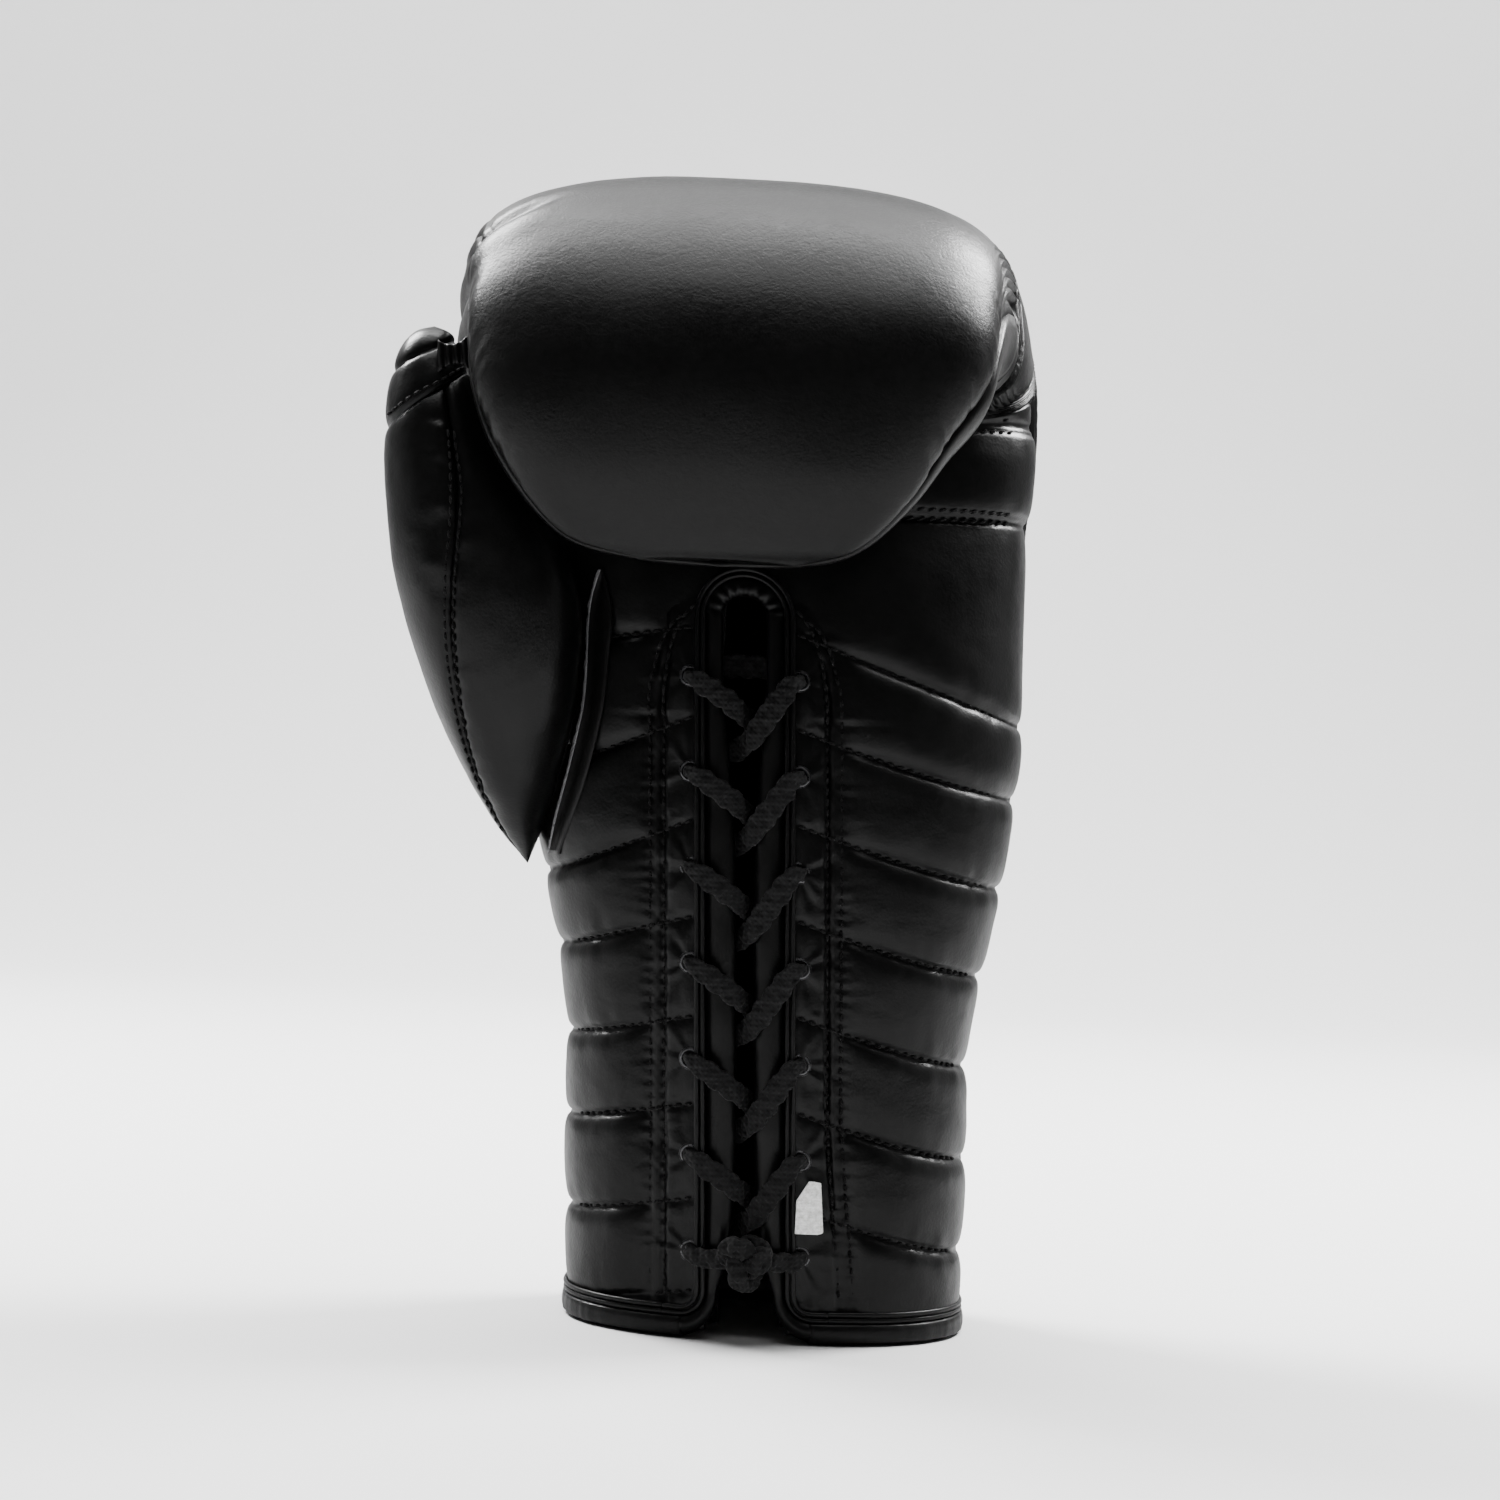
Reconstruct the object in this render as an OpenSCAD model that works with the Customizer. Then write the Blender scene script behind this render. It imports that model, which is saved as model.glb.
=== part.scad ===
// Lace-up boxing glove for the left hand, standing on the rim of its cuff with the palm towards -Y.
// Every soft layer is a slab between the outer surface of the glove and the cavity for the hand,
// so the layers nest by depth: leather outside, padding between, lining inside.

/* [Glove] */
// Length from the cuff's rim to the top of the fist
glove_length = 300; // [290:1:310]
// Width of the fist across the knuckles
fist_width = 155; // [145:1:165]
// Depth from the knuckle face to the front of the finger roll
fist_depth = 132; // [125:1:140]
// Lean of the glove's axis towards the thumb, in degrees
lean = 3; // [0:0.5:4]

/* [Layers] */
// Thickness of the outer leather
leather_t = 1.5; // [1.2:0.1:1.8]
// Thickness of the lining
lining_t = 0.9; // [0.7:0.1:1.2]
// Free space between two layers
layer_gap = 0.15; // [0.1:0.05:0.2]

/* [Lacing] */
// Distance between two rows of eyelets
eyelet_pitch = 24.3; // [23:0.1:24.5]
// Height of the lowest row of eyelets
eyelet_low = 22; // [21:0.5:23]
// Distance of an eyelet from the middle of the slot
eyelet_x = 14; // [13.5:0.25:14.5]
// Bore radius of an eyelet
eyelet_r = 2.2; // [2:0.1:2.4]
// Half of the width of the slot between its leather edges
slot_half = 10.5; // [10:0.5:11]
// Width of the flat lace
lace_w = 6.6; // [6:0.2:7]

/* [Hidden] */

// Colours of the materials
LEATHER = [0.045, 0.045, 0.047];
FOAM = [0.62, 0.6, 0.55];
DENSE_FOAM = [0.3, 0.33, 0.38];
LINING = [0.09, 0.09, 0.1];
CORD = [0.03, 0.03, 0.03];

// The station tables are written for the nominal sizes, and these factors fit them to the sizes above
kz = glove_length / 300;
kx = fist_width / 155;
ky = fist_depth / 132;
slot_x = -4.5;
slot_arc_z = 183.5;
rows = 7;

// ---------- Helpers ----------
// Catmull-Rom curve through the rows of a table
function spline(p, t) =
    let (n = len(p) - 1, i = min(max(floor(t), 0), n - 1), u = t - i,
         a = p[max(i - 1, 0)], b = p[i], c = p[i + 1], d = p[min(i + 2, n)])
    0.5 * (2 * b + (c - a) * u + (2 * a - 5 * b + 4 * c - d) * u * u
           + (3 * b - a - 3 * c + d) * u * u * u);
function clamp(v, lo, hi) = min(max(v, lo), hi);
function signed_pow(v, e) = sign(v) * pow(abs(v), e);
function ease(v, lo, hi) = let (u = clamp((v - lo) / (hi - lo), 0, 1)) u * u * (3 - 2 * u);
function unit(v) = v / norm(v);
function reversed(v) = [for (i = [len(v) - 1:-1:0]) v[i]];

// The glove's axis leans, while its rim stays level
function leaned(p) = [p.x - p.z * tan(lean), p.y, p.z];

// ---------- Surface of the mitt and the cuff ----------
// Stations from the rim, over the fist, to the end of the finger roll:
// outer y, outer z, inner y, inner z, left edge, right edge
MITT = [
    [40, 0, -39, 0, -51.5, 51.5],
    [41, 25, -40, 25, -52, 53],
    [41.5, 50, -40, 50, -52, 54],
    [42, 75, -40, 75, -51.5, 54.5],
    [43, 101, -39.5, 99, -54.5, 59.5],
    [46, 128, -39, 123, -59, 64.5],
    [51, 156, -37.5, 147, -61, 68.5],
    [57, 184, -35, 170, -62, 69.5],
    [62, 211, -31, 191, -65, 70.5],
    [65, 238, -27, 209, -70, 72.5],
    [63, 263, -23, 222, -77, 74.5],
    [52, 286, -22, 230, -81, 73],
    [31, 297, -24.5, 235, -79.5, 70],
    [5, 299.5, -28, 236.5, -76, 66],
    [-21, 296.5, -31, 234, -74, 63.5],
    [-44, 284.5, -33, 229, -74.5, 61],
    [-60, 266, -34.5, 222, -74.5, 57.5],
    [-67, 245, -37, 214, -70.5, 47.5],
    [-66, 222, -41, 204.5, -62, 37],
    [-59, 203.5, -46, 197, -49, 23.5],
    [-54, 196.8, -51.3, 194.9, -30, 8]
];
// Wall thickness at the same stations: outer side, inner side, left and right sides
WALL = [
    [13, 13, 12], [13, 13, 12], [13, 13, 12], [13, 13, 12], [13, 12.5, 12],
    [15, 12, 13], [18, 10, 14], [23, 9, 15], [30, 9, 17], [37, 13, 19],
    [42, 15, 21], [44, 15, 21], [41, 11, 21], [38, 7, 20], [36, 5, 20],
    [33, 5, 20], [26.5, 5, 20], [20, 5, 21], [14, 8, 22], [8.5, 5.2, 20], [1.6, 1.55, 12]
];
function squareness(t) = 2.35 + 0.6 * ease(t, 6, 11) - 0.4 * ease(t, 14, 18);

// A ring is a rounded rectangle between an outer and an inner point;
// its angle runs from 0 at the outer point over 90 on the right to 180 at the inner point
function ring_point(outer, inner, left, right, n, phi) =
    let (c = signed_pow(cos(phi), 2 / n), s = signed_pow(sin(phi), 2 / n),
         yz = (outer + inner) / 2 + (outer - inner) / 2 * c)
    [(left + right) / 2 + (right - left) / 2 * s, yz.x, yz.y];
function station(t) =
    let (s = spline(MITT, t)) [s[0] * ky, s[1] * kz, s[2] * ky, s[3] * kz, s[4] * kx, s[5] * kx];
function mitt_upright(t, phi) =
    let (s = station(t)) ring_point([s[0], s[1]], [s[2], s[3]], s[4], s[5], squareness(t), phi);
function cavity_upright(t, phi) =
    let (s = station(t), w = spline(WALL, t), o = [s[0], s[1]], i = [s[2], s[3]], d = unit(i - o))
    ring_point(o + d * w[0], i - d * w[1], s[4] + w[2], s[5] - w[2], 2.3, phi);

// Angle on the palm side at which the outer surface has a given x
function palm_angle(t, x) =
    let (s = station(t), u = clamp((x - (s[4] + s[5]) / 2) * 2 / (s[5] - s[4]), -1, 1))
    180 - asin(signed_pow(u, squareness(t) / 2));
// Station of the palm side at a given x and height, found by halving
function palm_station(x, z, lo = 0, hi = 11, k = 13) =
    let (mid = (lo + hi) / 2)
    k == 0 ? mid
    : mitt_upright(mid, palm_angle(mid, x)).z < z ? palm_station(x, z, mid, hi, k - 1)
    : palm_station(x, z, lo, mid, k - 1);
function palm_y(x, z) = let (t = palm_station(x, z)) mitt_upright(t, palm_angle(t, x)).y;
// Point at x from the middle of the slot, height z and depth below the surface of the palm side
function palm_point(x, z, depth) = leaned([x + slot_x, palm_y(x + slot_x, z) + depth, z]);

// ---------- Solids from grids of points ----------
// A closed slab between two grids. keep(i, j) says which cells exist, so windows are cells left out.
module slab(face_side, back_side, wrap = false, keep = function(i, j) true) {
    ni = len(face_side);
    nj = len(face_side[0]);
    shift = ni * nj;
    mi = floor((ni - 1) / 2);
    mj = floor((nj - 1) / 2);
    p = face_side[mi][mj];
    side = cross(face_side[mi + 1][mj] - p, face_side[mi][mj + 1] - p) * (p - back_side[mi][mj]);
    there = function(i, j)
        i >= 0 && i <= ni - 2 && (wrap || (j >= 0 && j <= nj - 2)) && keep(i, (j + nj) % nj);
    id = function(i, j) i * nj + (j % nj);
    faces = [for (i = [0:ni - 2], j = [0:nj - (wrap ? 1 : 2)]) if (there(i, j))
        let (a = id(i, j), b = id(i + 1, j), c = id(i + 1, j + 1), d = id(i, j + 1),
             e = a + shift, f = b + shift, g = c + shift, h = d + shift)
        each concat(
            [[a, c, b], [a, d, c], [e, f, g], [e, g, h]],
            there(i - 1, j) ? [] : [[d, a, e], [d, e, h]],
            there(i + 1, j) ? [] : [[b, c, g], [b, g, f]],
            there(i, j - 1) ? [] : [[a, b, f], [a, f, e]],
            there(i, j + 1) ? [] : [[c, d, h], [c, h, g]]
        )];
    polyhedron(
        points = concat([for (r = face_side) each r], [for (r = back_side) each r]),
        faces = side > 0 ? faces : [for (f = faces) [f[2], f[1], f[0]]]
    );
}

// A closed tube through rings of points, with flat ends unless it is a loop
module tube(rings, loop = false) {
    ni = len(rings);
    nj = len(rings[0]);
    last = ni - 1;
    id = function(i, j) (i % ni) * nj + (j % nj);
    middle = function(r) [for (k = [0:2]) let (v = [for (q = r) q[k]]) v * [for (q = r) 1] / nj];
    ahead = middle(rings[1]) - middle(rings[0]);
    turn = cross(rings[0][0] - middle(rings[0]), rings[0][1] - middle(rings[0])) * ahead;
    sides = [for (i = [0:last - (loop ? 0 : 1)], j = [0:nj - 1])
        let (a = id(i, j), b = id(i + 1, j), c = id(i + 1, j + 1), d = id(i, j + 1))
        each [[a, b, c], [a, c, d]]];
    ends = loop ? [] : concat(
        [for (j = [1:nj - 2]) [0, j, j + 1]],
        [for (j = [1:nj - 2]) [last * nj, last * nj + j + 1, last * nj + j]]);
    faces = concat(sides, ends);
    polyhedron(
        points = [for (r = rings) each r],
        faces = turn > 0 ? faces : [for (f = faces) [f[2], f[1], f[0]]]
    );
}

// Round cord under or over the palm side; path points are x, z and depth
function cord_rings(path, r, n) =
    [for (i = [0:len(path) - 1])
        let (a = path[max(i - 1, 0)], b = path[min(i + 1, len(path) - 1)], t = unit([b.x - a.x, b.y - a.y]))
        [for (k = [0:n - 1]) let (w = 360 * (k + 0.5) / n)
            palm_point(path[i].x - t.y * r * cos(w), path[i].y + t.x * r * cos(w), path[i].z + r * sin(w))]];

// ---------- Grid of the mitt ----------
// Lines 0 to 22 run along the glove; lines 9 to 14 keep a fixed x beside the slot
LINES = 23;
RIGHT_SEAM = 6;
RIGHT_PAD_EDGE = 10;
SLOT_RIGHT = 11;
SLOT_LEFT = 12;
LEFT_PAD_EDGE = 13;
LEFT_SEAM = 17;
pad_edge_x = 23;
slot_top_z = slot_arc_z + slot_half;
function slot_edge(z) =
    z <= slot_arc_z ? slot_half
    : z <= slot_top_z ? max(sqrt(slot_half * slot_half - pow(z - slot_arc_z, 2)), 2.5)
    : 2.5 + (slot_half - 2.5) * ease(z, slot_top_z, 215);
function angles(t) =
    let (z = station(min(t, 11))[3], e = slot_edge(z))
    [0, 15, 30, 45, 60, 75, 90, 105, 120, 135,
     palm_angle(t, slot_x + pad_edge_x), palm_angle(t, slot_x + e),
     palm_angle(t, slot_x - e), palm_angle(t, slot_x - pad_edge_x),
     233, 244, 257, 270, 285, 300, 315, 330, 345];

// Stations of the rows; those by height follow the round top of the slot
rim = 0.13;
arc_rows = [for (w = [0, 25, 48, 68, 90]) palm_station(slot_x, slot_arc_z + slot_half * sin(w))];
crease = 12.6;
ROWS = concat([rim, 1, 2, 3, 4, 5, 6, 7], arc_rows,
              [9, 9.4, 10, 10.6, 11, 12, crease, 13, 14, 15, 16, 17, 18, 19, 20]);
slot_end = arc_rows[4];
function rows_between(lo, hi) = [for (t = ROWS) if (t > lo - 0.001 && t < hi + 0.001) t];

function lines(a, b) = [for (j = [a:b]) j % LINES];
BACK = lines(LEFT_SEAM, LINES + RIGHT_SEAM);
PALM = lines(RIGHT_SEAM, LEFT_SEAM);
ALL_ROUND = lines(0, LINES - 1);

// Point of the wall at a depth below the outer surface
function wall(t, phi) = norm(mitt_upright(t, phi) - cavity_upright(t, phi));
function in_wall(t, phi, depth) =
    let (a = mitt_upright(t, phi), b = cavity_upright(t, phi)) leaned(a + unit(b - a) * depth);
// The palm side stops a hair short of the side seams, and a little more at the tight end of the roll
function seam_angle(t, phi, j, js) =
    let (palm_side = js[0] == RIGHT_SEAM || js[0] == LEFT_PAD_EDGE, gap = t > 12.61 ? 4.2 : 0.4)
    palm_side && j == RIGHT_SEAM ? phi + gap : palm_side && j == LEFT_SEAM ? phi - gap : phi;
function layer(ts, js, depth) =
    [for (t = ts) let (phis = angles(t))
        [for (j = js) let (phi = seam_angle(t, phis[j], j, js)) in_wall(t, phi, depth(t, phi))]];
module mitt_layer(ts, js, from, to, wrap = false, keep = function(t, j) true)
    slab(layer(ts, js, from), layer(ts, js, to), wrap, function(i, j) keep(ts[i], js[j]));

// Depths of the layers
pad_start = leather_t + layer_gap;
outside = function(t, phi) 0;
under_leather = function(t, phi) leather_t;
pad_face = function(t, phi) pad_start;
pad_back = function(t, phi) wall(t, phi) - lining_t - layer_gap;
lining_face = function(t, phi) wall(t, phi) - lining_t;
lining_back = function(t, phi) wall(t, phi);
function share(part, offset) = function(t, phi) pad_start + (pad_back(t, phi) - pad_start) * part + offset;

// Cells left out for the slot, and for the window that opens the hand's cavity into the thumb
in_slot = function(t, j) j == SLOT_RIGHT && t < slot_end - 0.001;
in_window = function(t, j) t > 5.99 && t < arc_rows[0] - 0.001 && (j == 14 || j == 15);
whole = function(t, j) true;
cut_palm = function(t, j) !in_slot(t, j) && !in_window(t, j);

// ---------- Leather of the mitt ----------
module knuckle_shell() color(LEATHER)
    mitt_layer(concat([5.02], rows_between(6, 20)), BACK, outside, under_leather);

module back_cuff_panel() color(LEATHER)
    mitt_layer(rows_between(0, 5), BACK, outside, under_leather);

module palm_panel() color(LEATHER)
    difference() {
        mitt_layer(rows_between(0, crease), PALM, outside, under_leather, keep = cut_palm);
        eyelet_places() eyelet_hole();
    }

module roll_underside_panel() color(LEATHER)
    mitt_layer(concat([crease + 0.02], rows_between(13, 20)), PALM, outside, under_leather);

// ---------- Padding ----------
// Three sheets of foam over the back of the hand and the knuckles
module knuckle_sheet(from, to) mitt_layer(concat([5.04], rows_between(6, 15)), BACK, from, to);
module knuckle_foam_outer() color(FOAM) knuckle_sheet(pad_face, share(1 / 3, -layer_gap / 2));
module knuckle_foam_core() color(DENSE_FOAM)
    knuckle_sheet(share(1 / 3, layer_gap / 2), share(2 / 3, -layer_gap / 2));
module knuckle_foam_inner() color(FOAM) knuckle_sheet(share(2 / 3, layer_gap / 2), pad_back);

module fingertip_pad() color(FOAM)
    mitt_layer([15.03, 16, 17, 18, 19], BACK, pad_face, pad_back);

module roll_underside_pad() color(FOAM)
    mitt_layer([crease + 0.04, 13, 14, 15, 16, 17, 18, 19], PALM, pad_face, pad_back);

module back_wrist_pad() color(FOAM)
    mitt_layer(rows_between(0, 5), BACK, pad_face, pad_back);

module right_cuff_pad() color(FOAM)
    mitt_layer(rows_between(0, slot_end), lines(RIGHT_SEAM, RIGHT_PAD_EDGE), pad_face, pad_back);

module left_cuff_pad() color(FOAM)
    mitt_layer(rows_between(0, slot_end), lines(LEFT_PAD_EDGE, LEFT_SEAM), pad_face, pad_back,
               keep = function(t, j) !in_window(t, j));

// The heel's pad ends between two stations, so it is a little thinner than the layers beside it allow
module palm_pad() color(FOAM)
    mitt_layer([slot_end + 0.33, 9, 9.4], PALM, function(t, phi) pad_start + 0.2,
               function(t, phi) pad_back(t, phi) - 0.45);

module crease_pad() color(FOAM)
    mitt_layer([10.6, 11, 12, crease], PALM, pad_face, pad_back);

// The bar that the fingers close on lies in the channel between the palm pad and the crease pad
bar_r = 3.1;
bar_t = 10;
function bar_point(phi) = in_wall(bar_t, phi, 9.3);
module grip_bar() color(DENSE_FOAM)
    tube([for (phi = [146:8.5:214])
        let (p = bar_point(phi), along = unit(bar_point(phi + 2) - bar_point(phi - 2)),
             u = unit(cross(along, [0, 1, 0])), v = cross(u, along))
        [for (k = [0:11]) p + bar_r * (u * cos(30 * k) + v * sin(30 * k))]]);

// ---------- Lining ----------
module hand_lining() color(LINING)
    mitt_layer(rows_between(0, crease), ALL_ROUND, lining_face, lining_back, wrap = true, keep = cut_palm);

module finger_lining() color(LINING)
    mitt_layer(concat([crease + 0.02], rows_between(13, 18), [18.7]), ALL_ROUND,
               lining_face, lining_back, wrap = true);

// ---------- Edges of the cuff ----------
// A folded strip that holds the leather, the padding and the lining together at the rim
hem_h = 7;
hem_t = 1.3;
hem_lines = lines(SLOT_LEFT, LINES + SLOT_RIGHT);
function hem_row(z, skin) =
    let (t = z / 25 / kz, phis = angles(t))
    [for (j = hem_lines)
        let (p = in_wall(t, phis[j], skin < 0 ? skin : wall(t, phis[j]) + skin)) [p.x, p.y, z]];
// The floor of the fold is flat, and the glove stands on it
function hem_outline(skin) = [for (p = hem_row(0, skin)) [p.x, p.y]];
module hem_binding() color(LEATHER) {
    linear_extrude(height = 1.4)
        polygon(concat(hem_outline(-1.1), reversed(hem_outline(1.1))));
    slab([hem_row(hem_h, -hem_t), hem_row(0.4, -hem_t)], [hem_row(hem_h, -0.1), hem_row(0.4, -0.1)]);
    slab([hem_row(hem_h, hem_t), hem_row(0.4, hem_t)], [hem_row(hem_h, 0.1), hem_row(0.4, 0.1)]);
}

// Half of the gap between the two facings, from the rim to the top of the slot
GAP = [[0, 9], [10, 7.5], [20, 4.4], [34, 2.6], [60, 2.1], [110, 2.1],
       [131, 2.6], [152, 4.2], [168, 5.5], [184, 5.5]];
function gap_at(z) = lookup(z, GAP);
facing_w = 19.6;
FACING_Z = [1.6, 8, 14, 20, 27, 34, 47, 60, 75, 90, 110, 122, 131, 142, 152, 160, 168, 176, 184];

// Two strips under the leather's edges that carry the eyelets, joined round the top of the slot
function facing_rows(depth) =
    concat(
        [for (z = FACING_Z) [for (x = [facing_w, 10, gap_at(z)]) palm_point(x, z, depth)]],
        [for (w = [15:15:165]) [for (r = [facing_w, 10, 5.5])
            palm_point(r * cos(w), 184 + r * sin(w) * (r > 12 ? 0.72 : 0.85), depth)]],
        [for (k = [len(FACING_Z) - 1:-1:0]) let (z = FACING_Z[k])
            [for (x = [facing_w, 10, gap_at(z)]) palm_point(-x, z, depth)]]);
module slot_facing() color(LEATHER)
    difference() {
        slab(facing_rows(pad_start + 0.4), facing_rows(pad_start + 2));
        eyelet_places() eyelet_hole();
    }

// A corded edge round the slot, sewn on top of the leather and trimmed where the eyelets sit
PIPING_X = slot_half + 0.9;
module slot_piping() color(LEATHER)
    difference() {
        tube(cord_rings(concat(
            [for (z = [8.2:16:175]) [PIPING_X, z, -1]],
            [for (w = [0:15:180]) [PIPING_X * cos(w), slot_arc_z + PIPING_X * sin(w), -1]],
            [for (z = [168.2:-16:8]) [-PIPING_X, z, -1]]), 0.8, 6));
        eyelet_places() translate([0, 0, -1]) cylinder(r = eyelet_r + 1.5, h = 5, $fn = 32);
    }

// ---------- Eyelets and lace ----------
function row_z(i) = (eyelet_low + eyelet_pitch * i) * kz;
// Each eyelet stands square to the leather at its own place
module eyelet_places()
    for (i = [0:rows - 1], s = [-1, 1]) {
        p = palm_point(s * eyelet_x, row_z(i), 0);
        across = palm_point(s * eyelet_x + 1, row_z(i), 0) - palm_point(s * eyelet_x - 1, row_z(i), 0);
        up = palm_point(s * eyelet_x, row_z(i) + 1, 0) - palm_point(s * eyelet_x, row_z(i) - 1, 0);
        translate(p)
            rotate([90 - atan(up.y / up.z), 0, atan(across.y / across.x)])
                children();
    }
eyelet_wall = 0.7;
module eyelet_hole() translate([0, 0, -6]) cylinder(r = eyelet_r + eyelet_wall + 0.1, h = 9, $fn = 32);
module eyelet_ring(r_out, z, h)
    translate([0, 0, z])
        difference() {
            cylinder(r = r_out, h = h, $fn = 32);
            translate([0, 0, -1]) cylinder(r = eyelet_r, h = h + 2, $fn = 32);
        }
module eyelets() color([0.72, 0.73, 0.74])
    eyelet_places()
        difference() {
            union() {
                translate([0, 0, -4.1]) cylinder(r = eyelet_r + eyelet_wall, h = 4.6, $fn = 32);
                translate([0, 0, 0.15]) cylinder(r = eyelet_r + 1.4, h = 0.6, $fn = 32);
                translate([0, 0, -4.6]) cylinder(r = eyelet_r + 1.3, h = 0.6, $fn = 32);
            }
            translate([0, 0, -6]) cylinder(r = eyelet_r, h = 9, $fn = 32);
        }

// The lace leaves each eyelet outwards, dives through the slot and comes back up through the next row
// on the other side. Points are x, z, depth, half width and half thickness.
half_w = lace_w / 2;
lower_z = function(s) s > 0 ? 7 : 0;
// The eyelets stand square to the curved palm, so inside them the lace leans with them
function hole_lean(x, z) = abs(palm_y(slot_x + x + 1, z) - palm_y(slot_x + x - 1, z)) / 2;
function hole_drop(x, z) = (palm_y(slot_x + x, z + 1) - palm_y(slot_x + x, z - 1)) / 2;
function lace_row(i, s) =
    let (z = row_z(i), b = lower_z(s), e = eyelet_x,
         lean_in = hole_lean(s * e, z), drop = hole_drop(s * e, z))
    concat([
        [s * (e - lean_in * 5.9), z - drop * 5.9, 5.9, 1.7, 1.4],
        [s * (e - lean_in * 3.6), z - drop * 3.6, 3.6, 1.65, 1.65],
        [s * (e - lean_in * 0.6), z - drop * 0.6, 0.6, 1.65, 1.65],
        [s * e, z - 0.2, -1.7, 1.8, 1.5],
        [s * (e - 2.2), z - 1.2, -3.3, half_w - 0.5, 1]],
    i == 0 ? [
        [s * 11, z - 0.6, -3.8, half_w, 1],
        [s * 10.2, z - 0.4, -5.2, half_w - 0.6, 1.2]]
    : [
        [s * 9, z - 3 - b * 0.3, -3.4, half_w, 1],
        [s * 5.2, z - 5.5 - b * 0.7, -2.3, half_w, 1],
        [s * 1.9, z - 8 - b, -0.6, half_w, 1],
        [s * 0.3, z - 9.4 - b, 2.6, half_w, 0.95],
        [-s * 1.4, z - 11 - b, 5.6, half_w, 0.95],
        [-s * 5, z - 14.5 - b * 0.7, 7.3, half_w, 1],
        [-s * 9.5, z - 19.5 - b * 0.3, 7.9, half_w - 0.3, 1],
        [-s * (e - 2.6), z - eyelet_pitch + 1, 7.3, 2.6, 1.1]]);
function strand(s) = [for (i = [rows - 1:-1:0]) each lace_row(i, s * ((rows - 1 - i) % 2 == 0 ? 1 : -1))];
top_z = row_z(rows - 1);
lace_route = concat(
    reversed(strand(-1)),
    [[-11.4, top_z + 1, 6.7, 2.4, 1], [-6, top_z + 3, 6.9, half_w, 0.9],
     [6, top_z + 3, 6.9, half_w, 0.9], [11.4, top_z + 1, 6.7, 2.4, 1]],
    strand(1));
lace_rings = [for (i = [0:len(lace_route) - 1])
    let (q = lace_route[i], a = lace_route[max(i - 1, 0)], b = lace_route[min(i + 1, len(lace_route) - 1)],
         t = unit([b[0] - a[0], b[1] - a[1], b[2] - a[2]]),
         w = unit([0, 1, 0] - t * t.y), n = cross(t, w))
    [for (k = [0:7])
        let (c = 45 * k + 22.5,
             o = w * q[3] * signed_pow(cos(c), 0.8) * 1.03 + n * q[4] * signed_pow(sin(c), 0.8) * 1.03)
        palm_point(q[0] + o.x, q[1] + o.y, q[2] + o.z)]];
module lace() color(CORD) tube(lace_rings);

// The ends of the lace are tied over the lowest eyelets
knot_at = palm_point(0, row_z(0) - 0.3, -7.6);
function trefoil(w) = [sin(w) + 2 * sin(2 * w), -0.95 * sin(3 * w), cos(w) - 2 * cos(2 * w)];
module lace_knot() color(CORD)
    tube([for (w = [0:9:351])
        let (p = trefoil(w), t = unit(trefoil(w + 1) - trefoil(w - 1)),
             u = unit(cross(t, [0, 1, 0])), v = cross(u, t))
        [for (k = [0:7])
            knot_at + 3 * [p.x, p.y * 0.95, p.z * 0.95] + 2.1 * (u * cos(45 * k) + v * sin(45 * k))]],
        loop = true);

// ---------- Size tag ----------
// A woven tag that hangs from the slot's right edge by its left side
tag_hinge_x = 12.6;
module size_tag() color([0.9, 0.9, 0.88]) {
    a = palm_point(tag_hinge_x, 32, -1.3);
    slope = palm_point(tag_hinge_x + 6, 32, 0) - palm_point(tag_hinge_x, 32, 0);
    translate([a.x, a.y, 0])
        rotate([90, 0, atan(slope.y / slope.x)])
            linear_extrude(height = 0.5)
                polygon([[0.2, 28], [7.4, 28.5], [6.2, 41.2], [3.2, 41.5], [0.2, 36.5]]);
}

// ---------- Thumb ----------
// Stations from its lower end to its tip: z, left edge, right edge, middle y, half depth
THUMB = [
    [117, -61.6, -61.5, -10, 0.05],
    [126, -69, -57.6, -12, 8.5],
    [140, -77, -52.8, -17, 15.5],
    [160, -86, -48, -22.5, 20.5],
    [185, -94, -46.8, -25, 22.5],
    [205, -97, -53, -26, 21],
    [222, -97.5, -64.5, -26, 17.5],
    [236, -96.5, -72, -26, 14],
    [246, -94, -77, -26, 10.5],
    [252, -90, -79.5, -26, 6.5],
    [254.3, -84.6, -84.5, -26, 0.05]
];
function thumb_station(s) =
    let (q = spline(THUMB, s)) [q[0] * kz, q[1] * kx, q[2] * kx, q[3] * ky, q[4] * ky];
// Its angle runs 0 towards the mitt, 90 back, 180 left, 270 front; the back is pressed flat on the mitt
function thumb_skin(s, phi) =
    let (q = thumb_station(s), c = signed_pow(cos(phi), 0.9), r = signed_pow(sin(phi), 0.9),
         x = (q[1] + q[2]) / 2 + (q[2] - q[1]) / 2 * c, y = q[3] + q[4] * r)
    [x, min(y, palm_y(x, q[0]) - 1.1), q[0]];
function thumb_core(s, phi) =
    let (q = thumb_station(s), hw = max((q[2] - q[1]) / 2 - 11, 0.3), hd = max(q[4] - 9.5, 0.3))
    [(q[1] + q[2]) / 2 - 0.5 + hw * cos(phi), q[3] - 2.5 + hd * sin(phi),
     (128 + (q[0] / kz - 117) * 0.82) * kz];
function thumb_wall(s, phi) = norm(thumb_skin(s, phi) - thumb_core(s, phi));
THUMB_LINES = [0, 25, 50, 75, 100, 130, 160, 190, 216, 240, 262, 285, 310, 335];
THUMB_ROWS = [0, 1, 2, 3, 4, 5, 6, 7, 7.6, 8, 9, 10];
FRONT_SEAM = 10;
BACK_SEAM = 4;
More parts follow.
